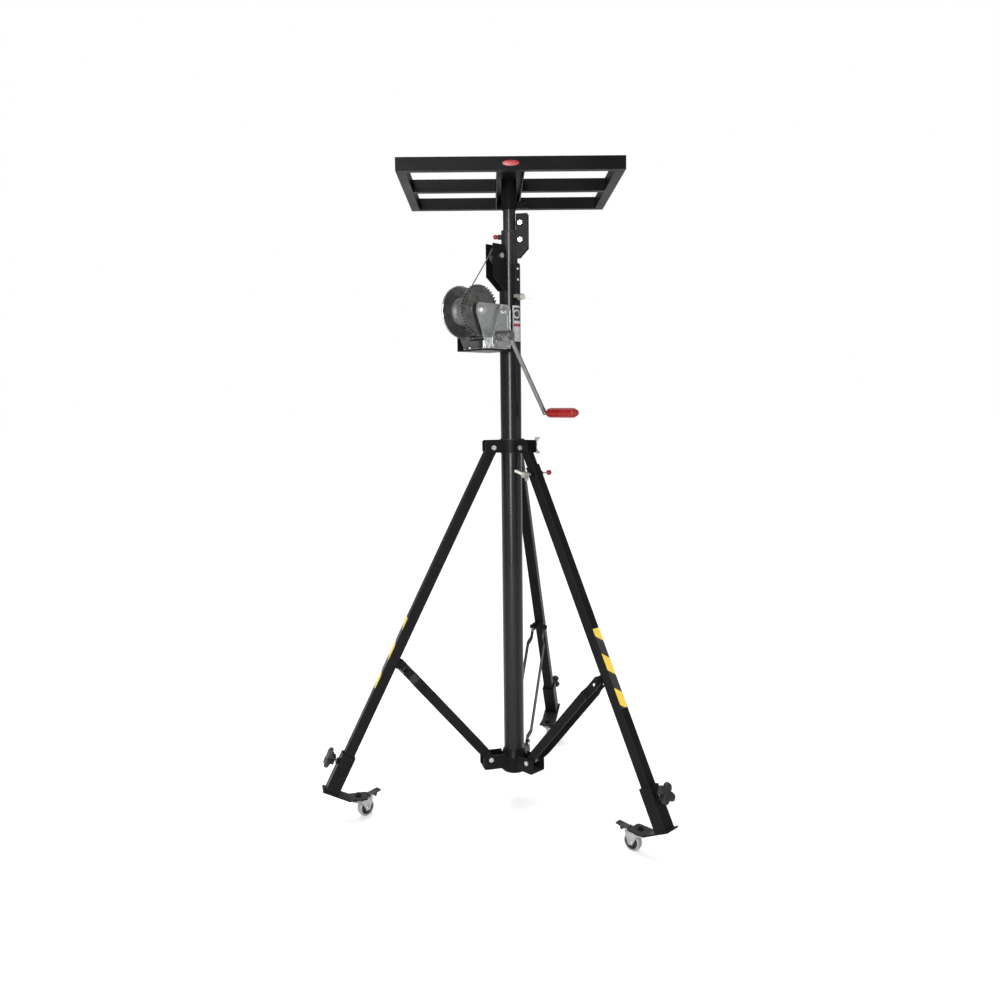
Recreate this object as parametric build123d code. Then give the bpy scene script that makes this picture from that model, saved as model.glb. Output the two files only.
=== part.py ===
from build123d import *
import os
from math import acos, atan2, cos, degrees, hypot, pi, radians, sin, tan

# Crank lighting stand, mast down and legs spread. Millimetres, +Z up.
# Origin: on the mast axis, on the floor. +Y points away from the viewer, +X to their right.

# tripod
REAR, LEFT, LEVELLING = 74, 194, 314      # azimuths of the three legs, degrees from +X
LEG_TILT = 26.5                           # legs from the vertical
LEG_SIDE, LEG_WALL = 30, 2
LEG_END = 1085                            # pivot to the lower end of the tube
LEG_HEAD = 12                             # tube above its pivot
COLLAR_PIN_R, COLLAR_PIN_Z = 58, 1063
BRACE_PIN_X, BRACE_PIN_S = -27, 678       # brace pivot on the leg: inboard of its axis, down from its pivot
BASE_PIN_R, BASE_PIN_Z = 78, 139
INNER_SIDE, INNER_END, INNER_LUG = 24, 830, 9   # levelling leg's inner tube and half its lug
LEVEL_TRAVEL, LEVEL_TOP, LEVEL_GRIP = 120, 58, 82
STRAP_W, STRAP_T = 25, 3
STRAP_END_Y, STRAP_MID_Y = 17, 25.5       # inner faces, from the middle of the pair
SLOT_L, SLOT_W, SLOT_DX, SLOT_DZ = 28, 14, 2.6, -9.5   # clearance slot for the leg bolt
PIN = 4                                   # radius of the M8 pins
FIT = 0.05                                # running fit on the radius

# mast
OUTER_R, OUTER_WALL = 30, 2
MIDDLE_R, MIDDLE_WALL = 23, 1.5
INNER_R, INNER_WALL = 17.5, 1.5
OUTER_Z0, OUTER_Z1 = 96, 1577
MIDDLE_Z0, MIDDLE_Z1 = 112, 1665
INNER_Z0, INNER_Z1 = 130, 1795
SLIDE_GAP = 0.35
CABLE_R = 1.6
WINCH_AZ, UPPER_PULLEY_AZ, PLUNGER_AZ, MAST_LOCK_AZ, COLLAR_LOCK_AZ = 225, 350, 192, 304, 14
MAST_LOCK_Z = 1484
PLUNGER_Z = 1653

# pulleys: radius of the cable's centreline, height, and the cable's distance from the mast axis
LOWER_GROOVE, LOWER_PULLEY_Z, LOWER_CABLE_X = 24, 1597, 25.5
UPPER_GROOVE, UPPER_PULLEY_Z, UPPER_CABLE_X = 13, 1690, 19.5

# winch, in its own frame: +X away from the mast, +Y along the shafts
DRUM_X, DRUM_Z = 148, 1440
GEAR_MODULE, GEAR_TEETH, PINION_TEETH = 3, 44, 11
WRAP_R, CORE_R, FLANGE_R = 40, 24, 71
DRUM_Y0, GEAR_Y0, GEAR_Y1 = -47, 22, 31
PLATE_T = 3
NEAR_PLATE_Y, FAR_PLATE_Y, COVER_Y = 38, -54, 53
FRAME_Z0 = 1337
CRANK_Y, CRANK_R = 94, 6
CRANK_DX, CRANK_DZ = -142, -211
GRIP_LENGTH = 100

# tray
TRAY_W, TRAY_D, TRAY_Z0, RAIL_H, RAIL_W, SIDE_RAIL_W = 586, 480, 1777, 34, 20, 25
SPINE_W, SPINE_T = 72, 3

# castor feet
SOCKET_SIDE, SOCKET_WALL, SOCKET_LENGTH = 40, 2.5, 115
STEM_R = 468                              # castor stem, from the mast axis
WHEEL_R, WHEEL_W, TRAIL = 24.5, 18, 24
PLATE_Z, FOOT_PLATE_T, FOOT_W = 60.5, 4, 50
PEDAL_X, PEDAL_Z = 38, 57.2               # pedal hinge, from the stem
TRAIL_AZ = {REAR: -45, LEFT: 45, LEVELLING: 136}

BASE = (Align.CENTER, Align.CENTER, Align.MIN)
TILT_SIN, TILT_COS = sin(radians(LEG_TILT)), cos(radians(LEG_TILT))
BRACE_X = COLLAR_PIN_R + BRACE_PIN_X * TILT_COS + BRACE_PIN_S * TILT_SIN - BASE_PIN_R
BRACE_Z = COLLAR_PIN_Z + BRACE_PIN_X * TILT_SIN - BRACE_PIN_S * TILT_COS - BASE_PIN_Z
BRACE_LENGTH = hypot(BRACE_X, BRACE_Z)
BRACE_TILT = degrees(atan2(BRACE_X, BRACE_Z))
CENTRES = GEAR_MODULE * (GEAR_TEETH + PINION_TEETH) / 2
MESH_ANGLE = -124                         # drum to pinion, seen along the shafts
PINION_X = DRUM_X + CENTRES * cos(radians(MESH_ANGLE))
PINION_Z = DRUM_Z + CENTRES * sin(radians(MESH_ANGLE))


def leg_frame(azimuth):
    """Origin on the leg's pivot, -Z down the leg, +X outwards."""
    return Rot(0, 0, azimuth) * Pos(COLLAR_PIN_R, 0, COLLAR_PIN_Z) * Rot(0, -LEG_TILT, 0)


def brace_frame(azimuth):
    """Origin on the base pin, +Z up the brace."""
    return Rot(0, 0, azimuth) * Pos(BASE_PIN_R, 0, BASE_PIN_Z) * Rot(0, BRACE_TILT, 0)


def castor_frame(azimuth):
    """Origin on the floor under the castor stem, +X towards the trailing wheel."""
    stem = Rot(0, 0, azimuth) * Pos(STEM_R, 0, 0)
    return Pos(*stem.position) * Rot(0, 0, TRAIL_AZ[azimuth])


def block(x0, x1, y0, y1, z0, z1):
    """Box between six faces."""
    return Pos(x0, y0, z0) * Box(x1 - x0, y1 - y0, z1 - z0, align=(Align.MIN,) * 3)


def rod(radius, start, end):
    """Cylinder between two points."""
    axis = Vector(*end) - Vector(*start)
    return Plane(origin=start, z_dir=axis) * Cylinder(radius, axis.length, align=BASE)


def cross_rod(radius, x, y0, y1, z):
    """Cylinder along Y."""
    return rod(radius, (x, y0, z), (x, y1, z))


def ring(outer, inner, z0, z1):
    """Upright ring on the mast axis."""
    solid = Cylinder(outer, z1 - z0, align=BASE) - Cylinder(inner, z1 - z0, align=BASE)
    return Pos(0, 0, z0) * solid


def square_tube(side, wall, z0, z1):
    """Upright square tube with rounded outer corners."""
    outer = extrude(RectangleRounded(side, side, wall + 1), z1 - z0)
    inner = extrude(RectangleRounded(side - 2 * wall, side - 2 * wall, 1), z1 - z0)
    return Pos(0, 0, z0) * (outer - inner)


def side_plate(points, y0, y1):
    """Plate with an outline in the XZ plane, between two Y planes."""
    outline = make_face(Polyline(*[(x, y1, z) for x, z in points], close=True))
    return extrude(outline, amount=y1 - y0, dir=(0, -1, 0))


def hexagon(radius, x, y0, y1, z):
    """Hexagonal head or nut along Y."""
    return Plane(origin=(x, y0, z), z_dir=(0, 1, 0)) * extrude(RegularPolygon(radius, 6), y1 - y0)


def cable_notch(radius, azimuth, z0, z1):
    """Cut that lets a cable run through a guide ring."""
    return Rot(0, 0, azimuth) * block(radius - 3.2, radius + 3.2, -3, 3, z0 - 1, z1 + 1)


def wing_screw(azimuth, z, tip, hub, wing_span, upright):
    """Radial clamping screw with two wings, along a mast radius."""
    solid = rod(PIN, (tip, 0, 0), (hub + 4, 0, 0)) + rod(9, (hub, 0, 0), (hub + 18, 0, 0))
    wings = [(hub + 7, 5), (hub + 15, 5), (hub + 30, wing_span), (hub + 17, wing_span)]
    for side in (1, -1):
        wing = extrude(make_face(Polyline(*[(x, side * y, 4) for x, y in wings], close=True)),
                       amount=8, dir=(0, 0, -1))
        solid += wing
    turn = 90 if upright else 0
    return Rot(0, 0, azimuth) * Pos(0, 0, z) * Rot(turn, 0, 0) * solid


def gear_outline(teeth, addendum, dedendum, backlash):
    """Involute spur gear outline in the XY plane with a tooth centred on +X."""
    pitch = GEAR_MODULE * teeth / 2
    base = pitch * cos(radians(20))
    half_pitch = pi / (2 * teeth) - backlash / (2 * pitch)
    involute_pitch = tan(radians(20)) - radians(20)
    root, tip = pitch - dedendum, pitch + addendum

    def half_angle(radius):
        roll = acos(min(1, base / max(radius, base)))
        return half_pitch + involute_pitch - (tan(roll) - roll)

    start = max(root, base)
    radii = [start + (tip - start) * k / 4 for k in range(5)]
    flank = [(root, half_angle(start))] if root < base else []
    flank += [(radius, half_angle(radius)) for radius in radii]
    points = []
    for tooth in range(teeth):
        centre = 2 * pi * tooth / teeth
        for radius, angle in flank:
            points.append((radius * cos(centre - angle), radius * sin(centre - angle)))
        for radius, angle in reversed(flank):
            points.append((radius * cos(centre + angle), radius * sin(centre + angle)))
    return make_face(Polyline(*points, close=True))


def spur_gear(teeth, bore, y0, y1, x, z, turn, addendum):
    """Spur gear on a shaft along Y, its first tooth turned away from +X towards +Z."""
    outline = gear_outline(teeth, addendum, 1.2 * GEAR_MODULE, 0.5)
    blank = extrude(outline, y1 - y0) - Cylinder(bore, 3 * (y1 - y0))
    return Pos(x, y1, z) * Rot(90, 0, 0) * Rot(0, 0, turn) * blank


# mast, base and collar

def outer_mast_tube():
    boss = Rot(0, 0, MAST_LOCK_AZ) * rod(9, (OUTER_R - 2, 0, MAST_LOCK_Z), (40, 0, MAST_LOCK_Z))
    bore = Rot(0, 0, MAST_LOCK_AZ) * rod(PIN + FIT, (20, 0, MAST_LOCK_Z), (50, 0, MAST_LOCK_Z))
    inside = OUTER_R - OUTER_WALL
    solid = ring(OUTER_R, inside, OUTER_Z0, OUTER_Z1) + boss
    return solid - bore - ring(inside, 10, MAST_LOCK_Z - 20, MAST_LOCK_Z + 20)


def base_collar():
    profile = [(0, 92), (34, 92), (39, 97), (39, 140), (31.5, 160), (OUTER_R, 160),
               (OUTER_R, OUTER_Z0), (0, OUTER_Z0)]
    outline = make_face(Polyline(*[(r, 0, z) for r, z in profile], close=True))
    solid = revolve(outline, Axis.Z, 360)
    for azimuth in (REAR, LEFT, LEVELLING):
        lug = block(33, 100, -25, 25, 108, 150)
        lug = fillet(lug.edges().filter_by(Axis.Y).group_by(Axis.X)[-1], 8)
        lug -= block(20, 110, -21, 21, 112, 160)
        lug -= cross_rod(PIN + FIT, BASE_PIN_R, -30, 30, BASE_PIN_Z)
        solid += Rot(0, 0, azimuth) * lug
    return solid - Pos(0, 0, OUTER_Z0) * Cylinder(OUTER_R, 100, align=BASE)


def base_pins():
    pins = []
    for azimuth in (REAR, LEFT, LEVELLING):
        pin = cross_rod(PIN, BASE_PIN_R, -29, 31, BASE_PIN_Z)
        pin += cross_rod(7, BASE_PIN_R, -16.7, 16.7, BASE_PIN_Z)
        pin += hexagon(7.5, BASE_PIN_R, -30, -25, BASE_PIN_Z)
        pin += hexagon(7.5, BASE_PIN_R, 25, 31, BASE_PIN_Z)
        pins.append(Rot(0, 0, azimuth) * pin)
    return pins


def mast_guide(outer, inner, z0, z1, flange, notches):
    """Plastic guide ring in a tube mouth, with a lip on the rim and notches for the cables."""
    solid = ring(outer, inner, z0, z1)
    if flange:
        solid += ring(flange, inner, z1, z1 + 3)
    for radius, azimuth in notches:
        solid -= cable_notch(radius, azimuth, z0, z1 + 6)
    return solid


def leg_collar():
    """Three pressed segments: arcs on the liner, flanges either side of each leg."""
    z0, z1 = 1048, 1084
    inner = LEG_SIDE / 2 + 0.5
    solid = ring(36.5, 32.5, z0, z1)
    for azimuth in (REAR, LEFT, LEVELLING):
        solid -= Rot(0, 0, azimuth) * block(0, 90, -inner, inner, z0 - 1, z1 + 1)
    for azimuth in (REAR, LEFT, LEVELLING):
        for side in (1, -1):
            near, far = sorted((side * inner, side * (inner + 4)))
            cheek = block(20, 82, near, far, z0, z1)
            cheek = fillet(cheek.edges().filter_by(Axis.Y).group_by(Axis.X)[-1], 7)
            cheek -= cross_rod(PIN + FIT, COLLAR_PIN_R, -40, 40, COLLAR_PIN_Z)
            cheek -= Pos(0, 0, z0) * Cylinder(32.5, z1 - z0, align=BASE)
            solid += Rot(0, 0, azimuth) * cheek
    boss = rod(10, (34.5, 0, 1066), (47, 0, 1066)) - Pos(0, 0, z0) * Cylinder(34, 60, align=BASE)
    solid += Rot(0, 0, COLLAR_LOCK_AZ) * boss
    return solid - Rot(0, 0, COLLAR_LOCK_AZ) * rod(PIN + FIT, (20, 0, 1066), (60, 0, 1066))


def collar_liner():
    liner = ring(32.5, OUTER_R + SLIDE_GAP, 1046, 1087)
    return liner - Rot(0, 0, COLLAR_LOCK_AZ) * rod(PIN + FIT, (20, 0, 1066), (60, 0, 1066))


def leg_pivot_bolts():
    bolts = []
    for azimuth in (REAR, LEFT, LEVELLING):
        bolt = cross_rod(PIN, COLLAR_PIN_R, -23, 25, COLLAR_PIN_Z)
        bolt += hexagon(7.5, COLLAR_PIN_R, -24.5, -19.5, COLLAR_PIN_Z)
        bolt += hexagon(7.5, COLLAR_PIN_R, 19.5, 26, COLLAR_PIN_Z)
        bolts.append(Rot(0, 0, azimuth) * bolt)
    return bolts


# legs, in the leg frame

def brace_bolt(half_lug):
    """Bolt through lug and straps, with spacers inside the straps and washers outside."""
    x, z = BRACE_PIN_X, -BRACE_PIN_S
    bolt = cross_rod(PIN, x, -27, 28, z)
    bolt += hexagon(7, x, -28, -22, z) + hexagon(7, x, 22, 28.5, z)
    for side in (1, -1):
        bolt += cross_rod(9, x, *sorted((side * 20.5, side * 22)), z)
        bolt += cross_rod(7, x, *sorted((side * half_lug, side * 16.7)), z)
    return bolt


def brace_lug(root_x, half_lug):
    """Two rounded ears on the leg's inner face that carry the brace bolt."""
    x, z = BRACE_PIN_X, -BRACE_PIN_S
    lug = block(x, root_x, -half_lug, half_lug, z - 12, z + 12)
    lug += cross_rod(12, x, -half_lug, half_lug, z)
    lug -= block(x - 13, root_x - 1, 3 - half_lug, half_lug - 3, z - 13, z + 13)
    return lug - cross_rod(PIN + FIT, x, -20, 20, z)


def leg_tube(azimuth):
    """Leg tube with its lug, and the brace bolt through the lug."""
    half = LEG_SIDE / 2
    tube = square_tube(LEG_SIDE, LEG_WALL, -LEG_END, LEG_HEAD) + brace_lug(1 - half, half)
    tube -= cross_rod(PIN + FIT, 0, -20, 20, 0)
    return [leg_frame(azimuth) * tube, leg_frame(azimuth) * brace_bolt(half)]


def levelling_leg_inner():
    """Inner tube of the levelling leg, with its index holes, its lug and the brace bolt."""
    half = INNER_SIDE / 2
    tube = square_tube(INNER_SIDE, LEG_WALL, -INNER_END, LEG_HEAD) + brace_lug(1 - half, INNER_LUG)
    tube += cross_rod(9, 0, -15.1, -half + 1, 0) + cross_rod(9, 0, half - 1, 15.1, 0)
    tube -= cross_rod(PIN + FIT, 0, -20, 20, 0)
    for step in range(8):
        tube -= cross_rod(PIN + FIT, 0, 0, 20, -107 - 25 * step)
    return [leg_frame(LEVELLING) * tube, leg_frame(LEVELLING) * brace_bolt(INNER_LUG)]


def levelling_leg_outer():
    """Outer tube that slides on the inner one: slot for the lug in its inner face, two bosses."""
    tube = square_tube(LEG_SIDE, LEG_WALL, -LEG_END, -LEVEL_TOP)
    slot_half = INNER_LUG + 0.7
    slot_z = -BRACE_PIN_S
    tube -= block(-20, -10, -slot_half, slot_half, slot_z - 16, slot_z + LEVEL_TRAVEL + 16)
    half = LEG_SIDE / 2
    tube += cross_rod(8, 0, half - 1, half + 9, -LEVEL_GRIP)
    tube += cross_rod(8, 0, -half - 7, -half + 1, -LEVEL_GRIP)
    tube -= block(-13, 13, -13, 13, -LEVEL_GRIP - 12, -LEVEL_GRIP + 12)
    return leg_frame(LEVELLING) * (tube - cross_rod(PIN + FIT, 0, -40, 40, -LEVEL_GRIP))


def levelling_screw():
    """Zinc clamping screw with two wings on the side of the levelling leg."""
    solid = cross_rod(PIN, 0, -40, -INNER_SIDE / 2 - 0.4, 0) + cross_rod(8, 0, -50, -34, 0)
    for side in (1, -1):
        wing = [(side * 5, -41), (side * 24, -50), (side * 24, -62), (side * 5, -50)]
        outline = make_face(Polyline(*[(x, y, 3.5) for x, y in wing], close=True))
        solid += extrude(outline, amount=7, dir=(0, 0, -1))
    return leg_frame(LEVELLING) * Pos(0, 0, -LEVEL_GRIP) * Rot(0, 55, 0) * solid


def levelling_plunger():
    """Index pin with a red ball, on the other side of the levelling leg."""
    half = INNER_SIDE / 2
    solid = cross_rod(PIN, 0, half + 0.5, 32, 0) + cross_rod(2.5, 0, 30, 54, 0)
    return leg_frame(LEVELLING) * Pos(0, 0, -LEVEL_GRIP) * (solid + Pos(0, 57, 0) * Sphere(7.5))


def brace_straps(azimuth):
    """Two flat straps, joggled in at both ends, either side of the leg and inside the lug."""
    top = BRACE_LENGTH
    half = STRAP_W / 2
    inner = [(STRAP_END_Y, -half), (STRAP_END_Y, 24), (STRAP_MID_Y, 44), (STRAP_MID_Y, top - 62),
             (STRAP_END_Y, top - 42), (STRAP_END_Y, top + half)]
    outer = [(y + STRAP_T, z) for y, z in reversed(inner)]
    face = make_face(Polyline(*[(half, y, z) for y, z in inner + outer], close=True))
    strap = extrude(face, amount=STRAP_W, dir=(-1, 0, 0))
    window = Plane.XZ * Pos(0, top / 2) * SlotOverall(top + STRAP_W, STRAP_W, rotation=90)
    strap &= extrude(window, 60, both=True)
    slot = Plane.XZ * Pos(SLOT_DX, top + SLOT_DZ) * RectangleRounded(SLOT_W, SLOT_L, 4.2)
    strap -= extrude(slot, 60, both=True)
    strap -= cross_rod(PIN + FIT, 0, -60, 60, 0)
    straps = [strap, mirror(strap, Plane.XZ)]
    return [brace_frame(azimuth) * each for each in straps]


# castor feet

def foot_socket(azimuth):
    """Socket on the leg end, the bent plate under it, and the castor's stem with its nut."""
    socket = square_tube(SOCKET_SIDE, SOCKET_WALL, -LEG_END - 3, -LEG_END - 3 + SOCKET_LENGTH)
    knob_z = -LEG_END + SOCKET_LENGTH - 30
    half = SOCKET_SIDE / 2
    socket += rod(9, (half - 1, 0, knob_z), (half + 6, 0, knob_z))
    socket -= rod(PIN + FIT, (10, 0, knob_z), (50, 0, knob_z))
    slope = block(-58, 27, -FOOT_W / 2, FOOT_W / 2, -LEG_END - 3 - FOOT_PLATE_T, -LEG_END - 3)
    foot = leg_frame(azimuth) * (socket + slope)
    flat = block(442, 494, -FOOT_W / 2, FOOT_W / 2, PLATE_Z, PLATE_Z + FOOT_PLATE_T)
    flat = fillet(flat.edges().filter_by(Axis.Z).group_by(Axis.X)[0], 8)
    foot += Rot(0, 0, azimuth) * flat
    stem = ring(16, 0.01, PLATE_Z - 6, PLATE_Z) + Pos(0, 0, 46) * Cylinder(5, 29, align=BASE)
    stem += Pos(0, 0, 46) * Cylinder(8, 3, align=BASE)
    stem += Pos(0, 0, PLATE_Z + FOOT_PLATE_T) * extrude(RegularPolygon(9, 6), 7)
    return foot + castor_frame(azimuth) * stem


def star_knob(azimuth):
    """Four-lobed clamping knob on the socket's outer face, with its threaded stud."""
    half = LEG_SIDE / 2
    start = SOCKET_SIDE / 2 + 24
    stud = rod(PIN, (half + 0.5, 0, 0), (start + 2, 0, 0)) + rod(8, (start - 12, 0, 0), (start, 0, 0))
    star = rod(20, (start, 0, 0), (start + 12, 0, 0))
    for k in range(4):
        angle = radians(45 + 90 * k)
        y, z = 25 * cos(angle), 25 * sin(angle)
        star += rod(6, (start, y, z), (start + 12, y, z))
        y, z = 26 * cos(angle + pi / 4), 26 * sin(angle + pi / 4)
        star -= rod(11, (start - 1, y, z), (start + 13, y, z))
    knob_z = -LEG_END + SOCKET_LENGTH - 30
    return leg_frame(azimuth) * Pos(0, 0, knob_z) * (stud + star)


def castor_fork(azimuth):
    """Swivel fork: crown under the ball race, two cheeks, the axle and the pedal's pin."""
    crown = block(-17, 42, -13.5, 13.5, 50.2, 53.8)
    crown = fillet(crown.edges().filter_by(Axis.Z).group_by(Axis.X)[0], 12)
    crown += Pos(0, 0, 50.2) * Cylinder(18, 3.6, align=BASE)
    crown -= Pos(0, 0, 40) * Cylinder(5 + FIT, 30, align=BASE)
    cheek = [(-9, 53.8), (42, 53.8), (39, 44), (TRAIL + 7, 18), (TRAIL - 6, 18), (5, 44)]
    for side in (1, -1):
        crown += side_plate(cheek, *sorted((side * 11, side * 13.5)))
        crown += block(34, 42, *sorted((side * 11, side * 13.5)), 53, 60)
    crown += cross_rod(PIN, TRAIL, -15.5, 15.5, WHEEL_R)
    crown += cross_rod(2, PEDAL_X, -12, 12, PEDAL_Z)
    return castor_frame(azimuth) * crown


def castor_wheel(azimuth):
    wheel = cross_rod(WHEEL_R, TRAIL, -WHEEL_W / 2, WHEEL_W / 2, WHEEL_R)
    wheel = fillet(wheel.edges(), 3)
    for side in (1, -1):
        recess = sorted((side * (WHEEL_W / 2 - 3), side * (WHEEL_W / 2 + 1)))
        wheel -= cross_rod(15, TRAIL, *recess, WHEEL_R) - cross_rod(7, TRAIL, -12, 12, WHEEL_R)
    return castor_frame(azimuth) * (wheel - cross_rod(PIN + FIT, TRAIL, -12, 12, WHEEL_R))


def brake_pedal(azimuth):
    """Black brake pedal hinged over the back of the fork."""
    outline = [(37, 54.8), (52, 56.5), (74, 61), (74, 63.5), (60, 62.5), (38, 59.8)]
    pedal = side_plate(outline, -10.5, 10.5) + cross_rod(3, PEDAL_X, -10.5, 10.5, PEDAL_Z)
    pedal += side_plate([(58, 59), (66, 60.5), (61, 46), (58, 46)], -5, 5)
    return castor_frame(azimuth) * (pedal - cross_rod(2 + FIT, PEDAL_X, -20, 20, PEDAL_Z))


# winch, in the winch frame

def in_winch_frame(shape):
    return Rot(0, 0, WINCH_AZ) * shape


def frame_outline(shrink=0):
    return [(60, FRAME_Z0), (132 - shrink, FRAME_Z0), (172, 1432), (170, 1454), (164, 1460),
            (60, 1460)]


def winch_bracket():
    """Black shelf on the mast under the winch, its far edge turned up."""
    shelf = block(28, 150, -61, 45, FRAME_Z0 - 4, FRAME_Z0) + block(60, 150, -61, -57, FRAME_Z0 - 4, 1392)
    back = block(22, 34, -22, 22, FRAME_Z0 - 4, 1420)
    mast = Pos(0, 0, 1200) * Cylinder(OUTER_R, 400, align=BASE)
    return in_winch_frame(shelf + back - mast)


def winch_frame():
    """Pressed zinc frame: two side plates joined by a base."""
    frame = block(60, 130, FAR_PLATE_Y, NEAR_PLATE_Y + PLATE_T, FRAME_Z0, FRAME_Z0 + PLATE_T)
    for y0 in (FAR_PLATE_Y, NEAR_PLATE_Y):
        frame += side_plate(frame_outline(), y0, y0 + PLATE_T)
    frame -= cross_rod(6 + FIT, DRUM_X, -80, 80, DRUM_Z)
    return in_winch_frame(frame - cross_rod(8 + FIT, PINION_X, -80, 80, PINION_Z))


def winch_cover():
    """Dished zinc cover over the ratchet, outside the near plate."""
    outline = [(54, FRAME_Z0 + 2), (128, FRAME_Z0 + 2), (126, 1368), (94, 1446), (84, 1458),
               (66, 1458), (54, 1446)]
    inside = [(57, FRAME_Z0 + 5), (124, FRAME_Z0 + 5), (122, 1368), (91, 1444), (82, 1455),
              (67, 1455), (57, 1445)]
    y0 = NEAR_PLATE_Y + PLATE_T
    cover = side_plate(outline, y0, COVER_Y) - side_plate(inside, y0, COVER_Y - PLATE_T)
    return in_winch_frame(cover - cross_rod(8 + FIT, PINION_X, y0, COVER_Y + 5, PINION_Z))


def winch_bolts():
    """Drum axle, cover bolt and the four bolts that hold frame and shelf together."""
    axle = cross_rod(6, DRUM_X, FAR_PLATE_Y - 5, NEAR_PLATE_Y + 12, DRUM_Z)
    axle += hexagon(10, DRUM_X, FAR_PLATE_Y - 7, FAR_PLATE_Y, DRUM_Z)
    axle += hexagon(10, DRUM_X, NEAR_PLATE_Y + PLATE_T, NEAR_PLATE_Y + PLATE_T + 7, DRUM_Z)
    cover_bolt = hexagon(8, 77, COVER_Y, COVER_Y + 5, 1438) + cross_rod(4, 77, COVER_Y, COVER_Y + 8, 1438)
    bolts = [in_winch_frame(axle), in_winch_frame(cover_bolt)]
    for x in (70, 120):
        for y in (-40, 24):
            head = Pos(x, y, FRAME_Z0 + PLATE_T) * extrude(RegularPolygon(6.5, 6), 5)
            bolts.append(in_winch_frame(head))
    return bolts


def winch_drum():
    """Drum on the fixed axle: core tube, far flange, near flange."""
    solid = cross_rod(12, DRUM_X, DRUM_Y0 - 2, GEAR_Y1 + 3, DRUM_Z)
    solid += cross_rod(FLANGE_R, DRUM_X, DRUM_Y0, DRUM_Y0 + 2.5, DRUM_Z)
    solid += cross_rod(FLANGE_R - 9, DRUM_X, GEAR_Y0 - 3, GEAR_Y0, DRUM_Z)
    solid += cross_rod(CORE_R, DRUM_X, DRUM_Y0, GEAR_Y0, DRUM_Z)
    solid -= cross_rod(6 + FIT, DRUM_X, -90, 90, DRUM_Z)
    for k in range(3):
        angle = 2 * pi * k / 3
        x, z = DRUM_X + 20 * cos(angle), DRUM_Z + 20 * sin(angle)
        solid -= cross_rod(6, x, -90, GEAR_Y0 - 8, z)
    return in_winch_frame(solid)


def cable_wrap():
    """Cable wound on the drum."""
    solid = cross_rod(WRAP_R, DRUM_X, DRUM_Y0 + 2.5, GEAR_Y0 - 3, DRUM_Z)
    return in_winch_frame(solid - cross_rod(CORE_R, DRUM_X, -60, 30, DRUM_Z))


def drum_gear():
    """Large gear on the drum's near flange, fixed by three bolts."""
    gear = spur_gear(GEAR_TEETH, 12, GEAR_Y0, GEAR_Y1, DRUM_X, DRUM_Z, MESH_ANGLE, 2.6)
    for k in range(3):
        angle = 2 * pi * k / 3 + 0.4
        gear += hexagon(6, DRUM_X + 40 * cos(angle), GEAR_Y1, GEAR_Y1 + 4, DRUM_Z + 40 * sin(angle))
    return in_winch_frame(gear)


def pinion():
    """Pinion and its shaft through both plates and the cover."""
    half_tooth = 180 / PINION_TEETH
    turn = MESH_ANGLE + 180 + half_tooth
    gear = spur_gear(PINION_TEETH, 5, GEAR_Y0 - 1, GEAR_Y1 + 2, PINION_X, PINION_Z, turn, 2.4)
    shaft = cross_rod(8, PINION_X, FAR_PLATE_Y - 2, CRANK_Y - 8, PINION_Z)
    return in_winch_frame(gear + shaft)


def crank_arm():
    """Crank: a boss on the pinion shaft, a straight bar, and the pin that the grip turns on."""
    x1, z1 = PINION_X + CRANK_DX, PINION_Z + CRANK_DZ
    arm = cross_rod(14, PINION_X, COVER_Y + 1, CRANK_Y + 6, PINION_Z)
    arm += rod(CRANK_R, (PINION_X, CRANK_Y, PINION_Z), (x1, CRANK_Y, z1))
    arm += Pos(x1, CRANK_Y, z1) * Sphere(CRANK_R + 1)
    arm += cross_rod(5, x1, CRANK_Y, CRANK_Y + 16 + GRIP_LENGTH, z1)
    arm += cross_rod(8, x1, CRANK_Y + 14.5 + GRIP_LENGTH, CRANK_Y + 18 + GRIP_LENGTH, z1)
    arm += hexagon(9, PINION_X, CRANK_Y + 5, CRANK_Y + 12, PINION_Z)
    return in_winch_frame(arm - cross_rod(8, PINION_X, -90, CRANK_Y - 8, PINION_Z))


def crank_grip():
    """Red moulded grip, turning on the crank's pin."""
    x1, z1 = PINION_X + CRANK_DX, PINION_Z + CRANK_DZ
    y0 = CRANK_Y + 14
    grip = cross_rod(14, x1, y0, y0 + GRIP_LENGTH, z1)
    grip = fillet(grip.edges(), 8)
    grip -= cross_rod(8.5, x1, y0 + GRIP_LENGTH - 0.3, y0 + GRIP_LENGTH + 5, z1)
    return in_winch_frame(grip - cross_rod(5 + FIT, x1, 0, 300, z1))


# pulleys and cables

def pulley(groove, width, x, z):
    """Grooved pulley on an axis along Y; groove is the cable's centreline radius."""
    rim, root = groove + 1.7, groove - CABLE_R - 0.3
    half = width / 2
    profile = [(PIN + FIT, -half), (rim, -half), (rim, -half + 1.2), (root, -2.2), (root, 2.2),
               (rim, half - 1.2), (rim, half), (PIN + FIT, half)]
    outline = make_face(Polyline(*[(r, y, 0) for r, y in profile], close=True))
    return Pos(x, 0, z) * revolve(outline, Axis.Y, 360)


def lower_pulley():
    x = LOWER_CABLE_X + LOWER_GROOVE
    return in_winch_frame(pulley(LOWER_GROOVE, 16, x, LOWER_PULLEY_Z))


def upper_pulley():
    x = UPPER_CABLE_X + UPPER_GROOVE
    return Rot(0, 0, UPPER_PULLEY_AZ) * pulley(UPPER_GROOVE, 12, x, UPPER_PULLEY_Z)


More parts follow.
